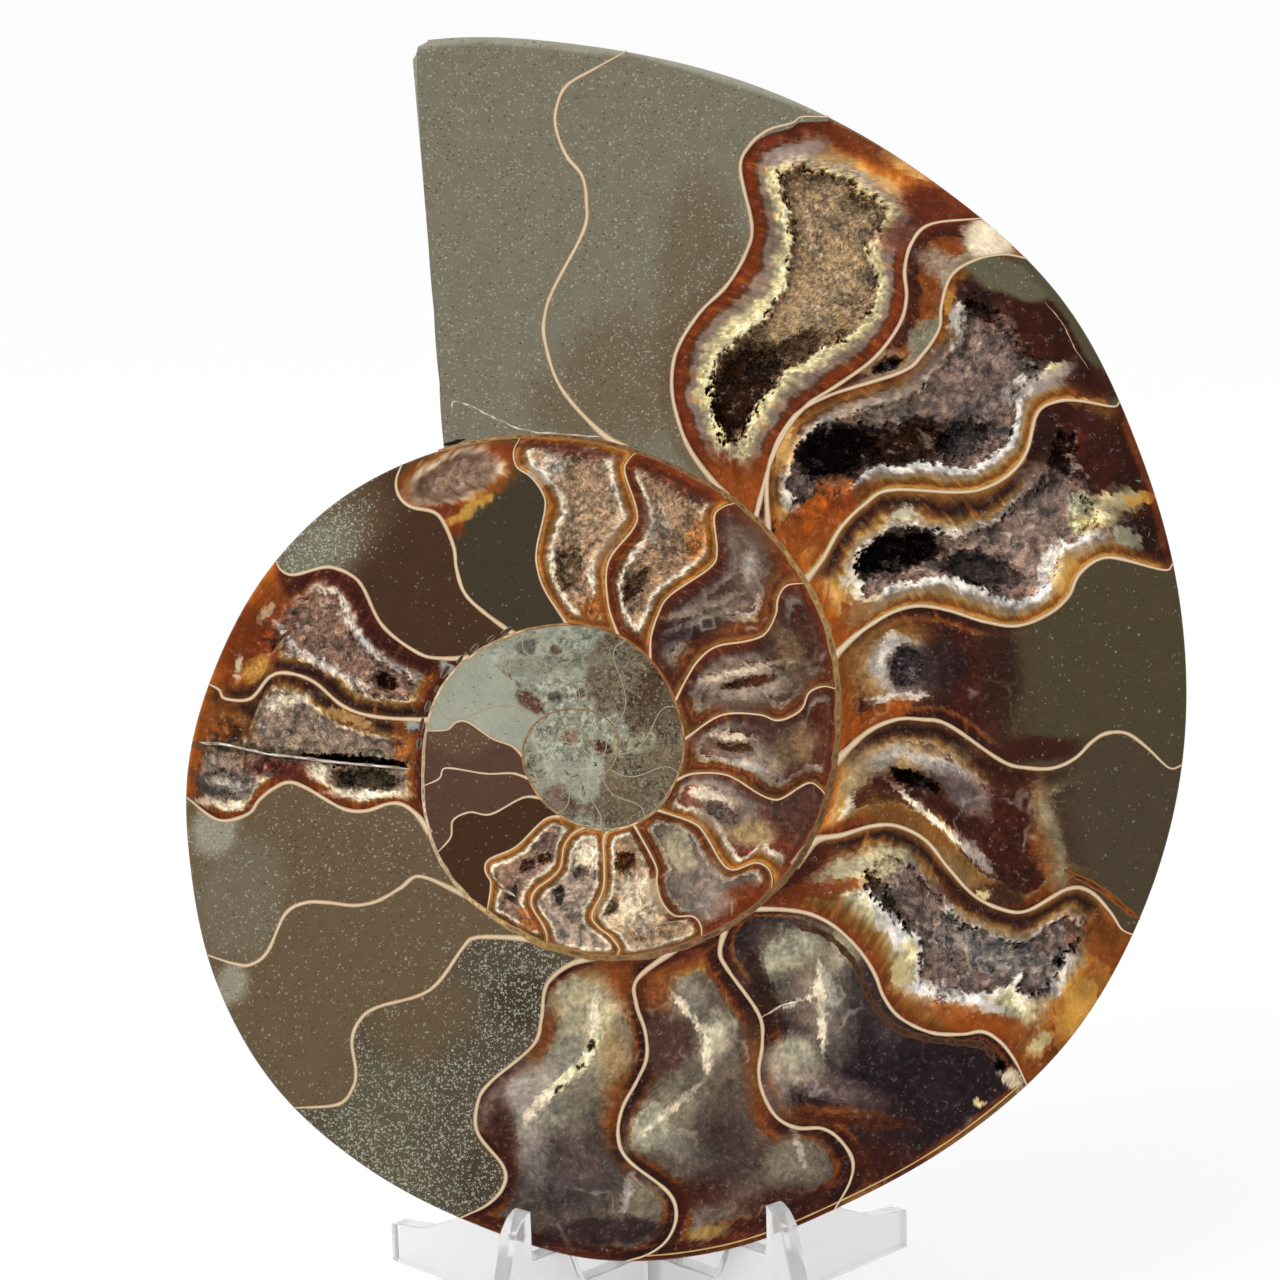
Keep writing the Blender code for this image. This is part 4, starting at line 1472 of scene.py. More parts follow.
@dataclass(frozen=True)
class Stand:
    """The two clear plates that cross behind the fossil."""

    edge: float = 0.25
    weld: float = 0.01
    flat: float = math.radians(1.0)
    sharp: float = math.radians(35.0)

    def build(self) -> None:
        """Makes each plate with softened, polished edges."""
        for name in PLATES:
            source = next(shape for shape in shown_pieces() if shape.name == name)
            mesh = source.data.copy()
            form = bmesh.new()
            form.from_mesh(mesh)
            bmesh.ops.remove_doubles(form, verts=form.verts, dist=self.weld * MM)
            bmesh.ops.dissolve_limit(form, angle_limit=self.flat, verts=form.verts, edges=form.edges)
            form.to_mesh(mesh)
            form.free()
            mesh.materials.clear()
            mesh.materials.append(Finish.ACRYLIC.material)
            plate = add_object(f"{name}_polished", mesh, source.matrix_world)
            soften = plate.modifiers.new("polished_edges", "BEVEL")
            soften.width = self.edge * MM
            soften.segments = 2
            soften.limit_method = "ANGLE"
            soften.angle_limit = self.sharp
            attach(plate, "root")
            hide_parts(name)
            LOG.info("%s: %d faces", plate.name, len(mesh.polygons))


@dataclass(frozen=True)
class Studio:
    """The pale floor, the soft light and the camera square to the sawn face."""

    distance: float = 600.0
    middle: tuple[float, float] = (6.26, 17.4)
    lens: float = 121.3
    sensor: float = 36.0
    farthest: float = 50.0
    floor_reach: float = 6.0
    floor_tone: tuple[float, ...] = (0.8, 0.8, 0.8, 1.0)
    shadow_tone: tuple[float, ...] = (0.34, 0.34, 0.34, 1.0)
    floor_glow: float = 0.74
    world_level: float = 0.68
    key_power: float = 7.0
    key_width: float = 0.8
    key_place: tuple[float, float, float] = (-0.62, -0.75, 0.95)
    key_aim: tuple[float, float, float] = (0.0, 0.0, 0.1)
    white: tuple[float, ...] = (1.0, 1.0, 1.0, 1.0)
    white_rays: tuple[str, ...] = ("Is Camera Ray", "Is Glossy Ray", "Is Transmission Ray")

    def see_white(self, shade: Shade, real: Sock, shown: Sock) -> Sock:
        """Shows one surface or light to cameras, mirrors and glass, and the real one to the rest.

        Args:
            shade: the node tree.
            real: what lights the object.
            shown: what is seen.

        Returns:
            Both together.
        """
        for kind in self.white_rays:
            ray = shade.add("ShaderNodeLightPath", {}, {}, kind)
            real = shade.add("ShaderNodeMixShader", {}, {0: ray, 1: real, 2: shown})
        return real

    def build_camera(self) -> None:
        """Aims the camera straight at the sawn face."""
        data = bpy.data.cameras.new("camera")
        data.lens = self.lens
        data.sensor_width = self.sensor
        data.clip_end = self.farthest
        place = Matrix.Translation(Vector((self.middle[0], -self.distance, self.middle[1])) * MM)
        place = SEAT @ place @ Matrix.Rotation(math.pi / 2.0, 4, "X")
        bpy.context.scene.camera = add_object("camera", data, place)

    def build_floor(self) -> None:
        """Lays a wide white floor that still takes the stand's shadow."""
        form = bmesh.new()
        bmesh.ops.create_circle(form, cap_ends=True, segments=96, radius=self.floor_reach)
        mesh = bpy.data.meshes.new("floor")
        form.to_mesh(mesh)
        form.free()
        material = bpy.data.materials.new("white_floor")
        shade = Shade(material)
        real = shade.surface(base_color=self.floor_tone, roughness=0.9, specular_ior_level=0.0)
        plain = shade.add("ShaderNodeBsdfDiffuse", {}, {"Color": self.shadow_tone})
        glow = shade.add("ShaderNodeEmission", {}, {"Color": self.white, "Strength": self.floor_glow})
        shown = shade.add("ShaderNodeAddShader", {}, {0: plain, 1: glow})
        shade.end(self.see_white(shade, real, shown))
        mesh.materials.append(material)
        floor = add_object("floor", mesh, Matrix())
        floor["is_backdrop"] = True

    def build_world(self) -> None:
        """Surrounds the stand with even light that cameras, mirrors and glass see as white."""
        world = bpy.data.worlds.new("studio")
        bpy.context.scene.world = world
        shade = Shade(world)
        soft, white = (shade.add("ShaderNodeBackground", {}, {"Color": self.white, "Strength": level})
                       for level in (self.world_level, 1.0))
        shade.end(self.see_white(shade, soft, white), "ShaderNodeOutputWorld")

    def build_key(self) -> None:
        """Hangs one soft lamp high on the left, clear of the face's mirror direction."""
        data = bpy.data.lights.new("key_lamp", "AREA")
        data.shape = "DISK"
        data.size = self.key_width
        data.energy = self.key_power
        spot = Vector(self.key_place)
        turn = (Vector(self.key_aim) - spot).to_track_quat("-Z", "Y")
        add_object("key_lamp", data, Matrix.Translation(spot) @ turn.to_matrix().to_4x4())

    def build(self) -> None:
        """Sets up the camera, floor, world and lamp."""
        bpy.context.scene.view_settings.view_transform = "Standard"
        self.build_camera()
        self.build_floor()
        self.build_world()
        self.build_key()


SEPTA = (
    Septum(0, (-21.0, 44.0, -25.3, 98.0, -23.3, 101.0)),
    Septum(1, (4.6, 44.4, 0.8, 46.6, -4.8, 52.8, -7, 59.2, -7, 62.8, -5.8, 66.4, -1.6, 74.4, -1.2, 78.4,
        -1.8, 82, -4, 84.8, -5.4, 88.4, -5.4, 91.2, -4, 94.4, 0, 96.8, 4.4, 99.2)),
    Septum(2, (20.2, 36, 17.4, 38.2, 13.2, 43.6, 11.2, 48.8, 10.6, 53.2, 11.4, 57.6, 14.4, 62.4, 18.2, 66.2,
        20.8, 70.6, 21.6, 74.4, 20, 82, 21.2, 85.2, 23.8, 87.4, 27.2, 88.4, 28.4, 89.2, 32.2, 89.2)),
    Septum(3, (23.8, 36.6, 25.2, 43.2, 27.2, 47.6, 30, 50.8, 34.2, 53.2, 38.6, 56.2, 41.6, 60.2, 42.4, 63.6,
        42, 67.2, 42.8, 70.6, 45.2, 72.8, 51.8, 73.2)),
    Septum(4, (25.6, 34.4, 25, 40.4, 25.4, 44.2, 26.8, 47.6, 29.2, 50.4, 33.4, 52.4, 42.8, 55, 45.6, 57.2,
        47.8, 60.6, 48, 63.6, 49.2, 67.6, 52.4, 69.6, 56.2, 70.2, 59.2, 69.6)),
    Septum(5, (29.2, 25.6, 31.6, 28.6, 34, 32.8, 37.2, 36, 40.8, 38, 49.8, 37.6, 53.8, 38.2, 57.2, 40.2,
        59.4, 43.2, 60.8, 48.4, 63.6, 50, 66.8, 50, 71.2, 49.2, 72, 50)),
    Septum(6, (35.2, 16, 38.4, 19.2, 42.8, 22, 46.4, 22.8, 50.4, 22, 54.8, 20.4, 59.4, 19.6, 63.6, 21.2,
        66.2, 23.6, 67.4, 26.4, 69.6, 28.4, 72.4, 28.8, 78.8, 27, 80, 28)),
    Septum(7, (34, 0.4, 38.4, 4.6, 42.4, 6.4, 46, 6.4, 49.6, 5.6, 56.8, 0.6, 60.4, -0.4, 64, -0.4, 67, 1,
        69.2, 3.2, 71.2, 4.4, 74, 4.4, 76.8, 2.4, 79.8, -0.4, 81.6, 0)),
    Septum(8, (27.2, -13.8, 30, -10.4, 33.8, -9.6, 38, -8.4, 41.6, -8.4, 45.6, -10.4, 48.8, -14.2, 52.4,
        -18, 56.4, -20, 60, -20.2, 65.6, -17.2, 68.8, -17.6, 71.6, -20.4, 73.2, -22.8, 74.8, -23.6)),
    Septum(9, (22.8, -20.8, 27.2, -20.8, 31, -21.4, 34.4, -23.2, 37.6, -26.4, 39.6, -29.6, 40.8, -32.8, 43,
        -35.6, 47.2, -37.6, 51.6, -37.8, 54.4, -37.4, 56.8, -38.8, 58.8, -41.4, 60.4, -44.8)),
    Septum(10, (19.2, -23.8, 18.2, -27.2, 19.2, -29.6, 23.4, -35.6, 23.8, -39.6, 23.2, -43.4, 23.8, -46.6,
        25.6, -49.6, 28.4, -51, 31.8, -51, 34.2, -52.4, 36, -55.2, 35.6, -58.2, 33.4, -62)),
    Septum(11, (11.6, -26, 6, -30.2, 5.8, -33.6, 7, -37.2, 7.2, -40.8, 5.8, -44, 3.8, -47.6, 3.2, -51.4,
        4.6, -54.6, 10, -58.8, 11.2, -62, 10, -65.2, 7.4, -67.2, 4.2, -68.2)),
    Septum(12, (0.4, -27.6, -3.2, -28.4, -6, -30.2, -7.2, -32.2, -7.6, -36, -8.8, -39.6, -14.6, -44.4,
        -16.4, -47.2, -16.4, -51.4, -12.8, -56, -12.8, -58.8, -15, -61.2, -18.8, -63)),
    Septum(13, (-9, -25, -13.2, -24.6, -17.2, -24.6, -18.8, -26, -23.2, -31.6, -30.4, -33.8, -32.8, -35.6,
        -33.8, -38.4, -33.2, -42.4, -33.6, -44.8, -35.6, -47, -41.6, -47.4)),
    Septum(14, (-18, -18.4, -24.4, -15.6, -27.2, -17.2, -30.4, -19, -33.6, -19.6, -37.2, -19.2, -40.4,
        -19.2, -43.2, -20.8, -45.6, -26, -48, -27.8, -50.4, -27.6, -54, -26.4)),
    Septum(15, (-23.2, -9.6, -24.8, -7.2, -26.8, -5.6, -28.8, -5.4, -32, -6.4, -35.2, -6, -40, -3.2, -42.4,
        -2.4, -44.4, -3.2, -46.4, -4.8, -48, -6.8, -52, -7.6, -56.4, -4.4)),
    Septum(16, (-23.8, 6.4, -30.8, 6.8, -35.2, 8.2, -39.2, 11.6, -42.8, 12.8, -45.2, 12.2, -47.8, 9.2,
        -51.2, 9.2, -52, 10.4, -53.4, 11.2)),
    Septum(17, (-17.4, 14.8, -21, 14.6, -24, 15.2, -28.4, 18.6, -30.8, 23.6, -32.4, 25.2, -34.4, 26, -36,
        26, -39.6, 25, -41.2, 25.6, -41.8, 26.8)),
    Septum(18, (-11.6, 18.6, -15.8, 21.6, -18.2, 24, -19.2, 27.2, -19.6, 30.4, -21.6, 34.4, -25.2, 35.4,
        -26.8, 36.8, -27.2, 38.8, -26.4, 41)),
    Septum(19, (-4, 20, -7, 24.4, -8, 27.4, -8, 30, -6.8, 35, -7.2, 37.2, -8.8, 39.2, -10.6, 40.4, -11,
        42.4, -10, 44.4)),
    Septum(20, (3.2, 18, 1.8, 22.2, 1.8, 27.6, 5.2, 32, 5.6, 34.4, 4, 39.2, 4.4, 40.8, 5.6, 42)),
    Septum(21, (8.6, 16.4, 8.4, 19.2, 9.2, 22, 10.6, 24, 15.6, 26.8, 16.4, 28.8, 15.8, 32.8, 16.8, 34, 18.6,
        34.4)),
    Septum(22, (12, 9.6, 13.2, 12.4, 14.6, 14.8, 16.8, 16.4, 20.6, 16.8, 22.8, 17.6, 24, 20, 24.2, 22, 25.2,
        23.6, 27.6, 23.8)),
    Septum(23, (12.6, 3.6, 17.2, 6.8, 22, 6.8, 24.2, 6, 26, 6.4, 27.6, 7.6, 28.4, 9.6, 30.2, 10.4, 32, 10)),
    Septum(24, (11.6, -2.2, 14, -1.2, 18.2, -1.4, 22, -3.8, 23.8, -4.6, 25.2, -4.4, 28.4, -2.4, 30, -3.2,
        30.8, -4.4)),
    Septum(25, (8.8, -6.4, 13.6, -8, 15.2, -9.6, 17.2, -13.2, 18.8, -14.2, 21.6, -13.2, 23.2, -13.8, 23.8,
        -15.2, 23.6, -17.2)),
    Septum(26, (6, -9.2, 8.6, -14.2, 8.6, -16.4, 9.2, -18.8, 10.8, -20.4, 13.2, -20.4, 14.2, -21.6, 14.2,
        -23.2)),
    Septum(27, (2, -9.2, 1.2, -10.6, 1.2, -16.4, -0.4, -20, 0.4, -21.6, 2, -22.8, 3.2, -24.4, 2.8, -25.6)),
    Septum(28, (-1.4, -9.2, -3.2, -10, -4.4, -11.6, -4.8, -14.2, -6, -15.6, -8.2, -17.2, -8.6, -19.2, -6.8,
        -22.2, -6.4, -24.4)),
    Septum(29, (-5.2, -7.8, -7.6, -8.2, -11.2, -11.6, -14.8, -13.2, -15.2, -14.8, -14.4, -16.4, -14.8,
        -20.2)),
    Septum(30, (-8.4, -5, -10.6, -4.8, -14.4, -6.8, -17, -6.4, -19, -7.4, -19.2, -9.6, -20.8, -11.6)),
    Septum(31, (-10, -2, -12, -1.2, -15.2, -1.2, -20, -0.4, -20.8, -1.8, -22.8, -2.8)),
    Septum(32, (-10, 1.2, -11.4, 2.6, -14, 3.6, -17.2, 5.8, -18.8, 5.8, -20, 4.8, -22.8, 4.6)),
    Septum(33, (-6.8, 6.8, -11.4, 11.4, -16.0, 16.0)),
)

CHAMBERS = (
    Chamber(0, Tone.MUD, mud=1, fleck=0.5, layers=(Spot(-2, 50.5, 5.5, 7, Tone.SILT, 0, 0.6),
        Band(Side.RIM, 1, Tone.FROST, strength=0.6))),
    Chamber(1, Tone.MUD, mud=1, fleck=0.5, layers=(Spot(3.5, 53.5, 9.5, 8.5, Tone.SILT, 0, 0.6),
        Spot(14.5, 64.5, 16.5, 5.5, Tone.SILT, 0, 0.6),
        Band(Side.AFTER, 1.9, Tone.SILT, stop=0.6, strength=0.6))),
    Chamber(2, Tone.SUGAR, grain=0, depth=2.4, linings=((5.7, Growth.AGATE), (4.9, Growth.AGATE),
        # Painted light: the rim lining and the rust and peach spots by the rim are partly the calcite's amber
        # and partly a painted glow of light through the thin rim.
        (7.2, Growth.BASE_GLOW), (7, Growth.RIM_GLOW)), layers=(Spot(40.5, 85.5, 8.5, 1.4, Tone.PEACH, 122),
        Spot(35.5, 87, 5.5, 1.9, Tone.RUST, 110), Spot(46.5, 77.5, 4.5, 3, Tone.MAROON_RED, 122, 1),
        Spot(43, 73.5, 4, 1.9, Tone.MAROON_PINK, 80), Spot(28.5, 85.5, 4.5, 1.3, Tone.LAVENDER, 75),
        Spot(28.5, 81.5, 3.5, 2.5, Tone.SUGAR_DARK, 70, 0.6), Spot(23, 39.5, 4, 3, Tone.BRICK, 40)), pools=(
        Pool(20, 52, 8.5, 4, Tone.PIT_BROWN, 34, 3.6), Pool(27, 57.5, 6, 1.9, Tone.UMBER_GREY, 62, 2))),
    Chamber(3, Tone.TOFFEE, grain=0.2, linings=((2.4, Growth.MAROON_BAND), (1.3, Growth.GRAIN_TAN),
        (1.4, Growth.GRAIN_TAN), (3.6, Growth.GRAIN_TAN)), layers=(Spot(48.5, 69, 4, 1.9, Tone.DUST, -62),
        # Painted light: the cream spot at the rim is a painted glow of light through the thin edge.
        Spot(46.5, 65, 3.5, 1.7, Tone.TOFFEE, 8, 0.85, 0.35), Spot(55, 73, 3.5, 2.5, Tone.CREAM, 110, 1),
        Spot(45.5, 59.5, 3, 1.9, Tone.MOSS_GREY, 25, 0.85, 0.35),
        Spot(39.5, 56, 3.5, 1.1, Tone.TAN, 68, 0.6, 0.35)), pools=(
        Pool(40.5, 55.5, 2.2, 0.9, Tone.BLACK, 70, 6),)),
    Chamber(4, Tone.MAUVE, grain=0.85, depth=2.2, linings=((3.1, Growth.BROWN_TAN),
        (3.6, Growth.GOLD_TO_WHITE), (5.8, Growth.AMBER_CREAM), (8.6, Growth.DARK_ROOF)), layers=(
        Spot(59, 61.5, 10, 4, Tone.WINE, 122, 1), Spot(53.5, 64.5, 4, 3.5, Tone.DEEP, 100),
        Spot(54, 57.5, 5.5, 3.5, Tone.SMOKE, 40), Spot(48, 53.5, 4, 4, Tone.MAUVE),
        Spot(50.5, 62, 2.2, 1.3, Tone.CHALK, 10), Spot(49, 64, 1.9, 0.8, Tone.HONEY, 10),
        Spot(42.5, 50.5, 7, 1.9, Tone.PUTTY, 66), Spot(37, 49.5, 5.5, 1.4, Tone.DUST, 75),
        Spot(58.5, 67.5, 6.5, 2.4, Tone.MUD_OLIVE, 112, 1, 0.35, mud=1, fleck=0.3),
        Band(Side.RIM, 1.3, Tone.MOSS, strength=0.9, mud=1),
        Spot(64, 55, 1.9, 1.1, Tone.PALE_GOLD, 80, 1, 0.35), Spot(59, 53.5, 0.7, 1, Tone.CHALK, 0, 1, 0.35),
        Spot(61, 53, 5.5, 1.3, Tone.ASH, 68), Spot(69.5, 53, 3.5, 1.9, Tone.WINE, 110),
        Spot(30.5, 33.5, 6.5, 3.5, Tone.BRICK, 50, 1, mud=0), Spot(35, 37, 4, 1, Tone.RUST, 56),
        Spot(26.5, 44.5, 4, 1.3, Tone.PEACH, 8), Spot(24, 33, 1.1, 1, Tone.BLACK, 60, 1, 0.35)), pools=(
        Pool(33.5, 44, 6, 4, Tone.BLACK, 78, 6), Pool(43, 45, 7.5, 3, Tone.PIT_BROWN, 86, 4),
        Pool(51.5, 45.5, 4, 2.5, Tone.SOOT, 65, 2.5))),
    Chamber(5, Tone.SMOKE, grain=0.85, depth=2.2, linings=((4.4, Growth.DARK_TO_WHITE),
        (3.6, Growth.GOLD_TO_WHITE), (6.4, Growth.AMBER_CREAM), (8.9, Growth.DARK_ROOF)), layers=(
        Spot(67.5, 45, 8.5, 4.5, Tone.WINE, 125, 1), Spot(63, 44, 4, 3, Tone.DEEP, 20),
        Spot(62.5, 38, 3.5, 4, Tone.MAUVE, 0, 0.6),
        Spot(71, 35.5, 5, 2.1, Tone.PALE_YELLOW, 68, 0.85, 0.35),
        Spot(67.5, 36.5, 1.9, 1.7, Tone.SAGE, 0, 0.85, 0.35), Spot(76, 32.5, 4, 2.5, Tone.DEEP, 110),
        Spot(74, 32, 2.2, 1.3, Tone.SAGE, 120, 0.85, 0.35),
        Spot(76, 37, 2.5, 0.8, Tone.GOLD, 72, 0.85, 0.35),
        Band(Side.RIM, 1.1, Tone.TOFFEE, start=0.1, stop=0.9, strength=0.8),
        Spot(63, 27, 4, 1.3, Tone.QUARTZ, 15, 0.85, 0.35), Spot(65.5, 26.5, 3, 1.7, Tone.GOLD, 20, 0.6),
        Spot(43, 35, 1.9, 1.1, Tone.SAGE, 80, 1, 0.35), Spot(33.5, 18.5, 5, 3, Tone.BRICK, 32, 1, mud=0),
        Spot(37.5, 21.5, 3.5, 1.4, Tone.FAWN, 60, 0.6)), pools=(Pool(41.5, 29.5, 7.5, 3, Tone.BLACK, 80, 6),
        Pool(54, 27, 6, 2.4, Tone.SOOT, 100, 2.5))),
    Chamber(6, Tone.WINE, grain=0.2, linings=((1.7, Growth.MARGIN), (1.8, Growth.MARGIN),
        (3.1, Growth.ORANGE_EDGE), (0.1, Growth.MARGIN)), layers=(Spot(42, 14, 6, 6.5, Tone.TEAK),
        Spot(41.5, 13.5, 4.5, 5, Tone.FAWN), Spot(42.5, 14, 4, 4.5, Tone.ASH, 0, 1, 0.35),
        Spot(41, 15.5, 3, 1.4, Tone.CHALK, 10, 0.85, 0.35), Spot(44, 13.5, 3, 4, Tone.MAUVE, 0, 1, 0.35),
        Spot(48, 13.5, 4.5, 3, Tone.PLUM_DARK, 0, 0.85, 0.9),
        Spot(43, 9.5, 4.5, 0.6, Tone.CHALK, 86, 0.85, 0.35),
        Spot(84, 12, 58.5, 28, Tone.OLIVE, 0, 1, 0.35, mud=1, fleck=0.15),
        Spot(61, 2, 6, 1.7, Tone.WINE, 86), Spot(56.5, 13, 8.5, 2.2, Tone.DEEP, 0, 0.6, 0.9),
        Spot(38, 6, 6, 1.7, Tone.BRICK, 66, 1)), pools=(Pool(43, 13.5, 3, 2.2, Tone.SOOT, 0, 2),)),
    Chamber(7, Tone.WINE, grain=0.2, linings=((3.6, Growth.FIBRES), (3.1, Growth.RUST_HONEY_DARK),
        (3.6, Growth.AMBER_CREAM), (0.1, Growth.MARGIN)), layers=(
        Spot(58.5, -7.5, 9.5, 4.5, Tone.WINE, -10, 0.85, 0.9), Spot(42.5, 1, 8.5, 2.2, Tone.FAWN, 84),
        Spot(39.5, 0.5, 4, 1.3, Tone.ASH, 60), Spot(47.5, 0, 5.5, 1.1, Tone.CHALK, 110),
        Spot(52, -4, 4, 2.2, Tone.SMOKE, 140), Spot(49.5, -2.5, 4.5, 1.7, Tone.SOOT, 125, 0.6),
        Spot(46, -12, 9, 3.5, Tone.TEAK, 132, 0.85, 0.9), Spot(50.5, -14.5, 5, 1.3, Tone.FAWN, 132, 0.6),
        Spot(47.5, -8, 9, 0.5, Tone.CREAM, 131, 1), Spot(53, -12.5, 3.5, 0.8, Tone.ASH, 140),
        Spot(36.5, -2, 3, 1.3, Tone.FAWN, 50), Spot(56.5, -18, 3.5, 1.7, Tone.PIT_BROWN, 100, 0.85, 0.35),
        Spot(54, -18, 1.1, 0.6, Tone.PALE_GOLD, 100, 0.85, 0.35), Spot(63, -9, 8.5, 1.9, Tone.FAWN, -12),
        Spot(64, -11, 5.5, 1, Tone.LINEN, -14), Spot(62.5, -12, 3.5, 1.7, Tone.TOFFEE, -20, 0.6),
        Spot(86, -5, 26.5, 22, Tone.OLIVE_DARK, 0, 1, 0.35, mud=1, fleck=0.1)), pools=(
        Pool(44.5, -2, 4, 1, Tone.BLACK, 112, 4),)),
    Chamber(8, Tone.MAUVE, grain=0.8, depth=1.8, linings=((3.9, Growth.DARK_TO_WHITE),
        (6.4, Growth.HONEY_WHITE), (8.3, Growth.AMBER_MARGIN), (6.4, Growth.RIM_AMBER)), layers=(
        Spot(37, -14.5, 6.5, 2.2, Tone.LINEN, 76, 1), Spot(41, -22, 6, 1.4, Tone.QUARTZ, 150, 0.85, 0.35),
        Spot(43, -28, 3.5, 1.8, Tone.STRAW, 20, 0.85, 0.35),
        Spot(50.5, -32.5, 8.5, 1.3, Tone.QUARTZ, 104, 0.85, 0.35),
        # Painted light: the gold spot by the rim is partly the calcite's gold and partly a painted glow of
        # light through the thin edge.
        Spot(53, -35.5, 9.5, 1.7, Tone.BRICK, 104), Spot(68, -33.5, 5.5, 3, Tone.GOLD, 28),
        Spot(65, -28.5, 3.5, 1.7, Tone.CHALK, 25, 0.85, 0.35), Spot(70, -23.5, 3.5, 3, Tone.TOFFEE, 110),
        Spot(62, -38.5, 1.9, 1.1, Tone.PALE_YELLOW, 30), Spot(30.5, -17.5, 7, 1.3, Tone.RUST, 80),
        Spot(53, -19, 8.5, 1.4, Tone.WINE, 110, 0.6)), pools=(Pool(40.5, -19.5, 6, 1.4, Tone.PUTTY, 148, 3),
        Pool(55, -25.5, 9.5, 3.5, Tone.ASH, 112, 1.5), Pool(65.5, -27, 1.9, 1, Tone.PIT, 30, 3))),
    Chamber(9, Tone.PLUM_BLACK, grain=0.15, linings=((1.3, Growth.MARGIN), (2.2, Growth.MARGIN),
        (0.8, Growth.MARGIN), (1.4, Growth.THIN_EDGE)), layers=(
        Spot(30, -27.5, 6.5, 8.5, Tone.SLATE, 0, 0.85, 0.9), Spot(27, -26, 5, 2.5, Tone.SAGE, 60),
        Spot(35, -25.5, 3, 2.2, Tone.LINEN, -20), Spot(30.5, -32.5, 6, 3.5, Tone.PUTTY, 0, 0.85, 0.9),
        Spot(34, -34, 7, 3, Tone.LICHEN, 0, 0.6, 0.9),
        Spot(31.5, -34, 6.5, 0.6, Tone.CREAM, -3, 0.85, 0.35),
        Spot(33, -31.5, 3, 0.6, Tone.CHALK, -20, 0.6, 0.35),
        Spot(28, -33, 3.5, 0.3, Tone.CREAM, 66, 0.85, 0.35),
        Spot(23, -30.5, 6.5, 1.4, Tone.DEEP, -20, 0.85, 0.9), Spot(27.5, -41.5, 3.5, 4, Tone.SAGE),
        Spot(32.5, -44.5, 8, 1.9, Tone.SMOKE, 110, 0.6, 0.9),
        Spot(25, -46, 3.5, 2.2, Tone.SMOKE, -30, 0.6, 0.9),
        Spot(42.5, -37, 10.5, 7, Tone.PLUM_BLACK, -20, 0.85, 0.9),
        Spot(39.5, -32.5, 6.5, 3, Tone.SOOT, -20, 0.6, 0.9),
        Spot(33.5, -49, 7, 1.4, Tone.TOFFEE, 95, 0.85, 0.9),
        Spot(35.5, -49.5, 8.5, 0.8, Tone.WINE, 95, 0.85, 0.9),
        Spot(39.5, -55, 8.5, 3.5, Tone.WINE, 110, 0.85, 0.9),
        Spot(53.5, -47, 0.6, 0.6, Tone.PALE_GOLD, 0, 1, 0.35),
        Spot(58, -43.5, 1.9, 1.3, Tone.CREAM, 140, 0.85, 0.35)), pools=(
        Pool(56.5, -42, 1.1, 0.6, Tone.BLACK, 130, 3),)),
    Chamber(10, Tone.BARK, grain=0.15, linings=((2.8, Growth.MARGIN), (2.1, Growth.MARGIN),
        (4.4, Growth.AMBER_MARGIN), (3.6, Growth.MAROON_BAND)), layers=(
        Spot(9.5, -31.5, 3.5, 3, Tone.TOFFEE, 60, 0.85, 0.9),
        Spot(9.5, -39, 5.5, 3.5, Tone.PLUM, 0, 1, 0.9),
        Spot(13, -32.5, 3, 2.2, Tone.LICHEN, -30, 0.85, 0.9),
        Spot(17, -39, 4, 2.5, Tone.SAGE, 10, 0.85, 0.9), Spot(19.5, -44, 7, 3.5, Tone.BARK, 10, 0.85, 0.9),
        Spot(10.5, -47.5, 6.5, 3, Tone.SLATE, 55, 0.85, 0.9), Spot(7.5, -50.5, 3.5, 2.5, Tone.SAGE, 30),
        Spot(13, -53.5, 5.5, 1.9, Tone.LICHEN, 115, 0.85, 0.9),
        Spot(10.5, -48, 6, 0.4, Tone.CREAM, 50, 0.6), Spot(13, -34.5, 3.5, 0.5, Tone.CREAM, -38),
        Spot(15.5, -40, 3.5, 0.6, Tone.CREAM, -4), Spot(23, -43, 7, 1.9, Tone.COPPER, -5, 0.6, 0.9),
        Spot(18, -53.5, 6.5, 5, Tone.PLUM_DARK, 10, 0.6, 0.9),
        Spot(28, -55, 3.5, 3, Tone.SLATE, 30, 0.85, 0.9), Spot(28.5, -53.5, 3, 0.4, Tone.CHALK, -20, 0.6),
        Spot(12, -60.5, 6.5, 2.2, Tone.WINE, 80, 0.85, 0.9),
        Spot(25.5, -61, 6.5, 2.2, Tone.WINE, 80, 0.85, 0.9), Spot(15.5, -65, 3, 1.1, Tone.GOLD_OLIVE, 80))),
    Chamber(11, Tone.BARK, grain=0.15, linings=((1.9, Growth.MARGIN), (1.8, Growth.MARGIN),
        (3.6, Growth.AMBER_MARGIN), (2.2, Growth.MAROON_BAND)), layers=(
        Spot(2.5, -30.5, 5.5, 3, Tone.TOFFEE, 0, 0.85, 0.9), Spot(-2, -34, 4.5, 4.5, Tone.LINEN, 0, 1),
        Spot(1.5, -37.5, 5.5, 3, Tone.LINEN, 10, 0.85, 0.9),
        Spot(2.5, -41, 4.5, 2.2, Tone.FAWN, 10, 0.85, 0.9),
        Spot(-5, -41, 4.5, 4.5, Tone.LICHEN, 40, 0.85, 0.9),
        Spot(-11, -46.5, 6, 3, Tone.ASH, 60, 0.85, 0.9), Spot(-3, -47.5, 6, 3.5, Tone.SLATE, 40, 0.85, 0.9),
        Spot(-7.5, -49.5, 4.5, 2.5, Tone.LICHEN, 60, 0.85, 0.9), Spot(0, -35.5, 4, 0.7, Tone.CREAM),
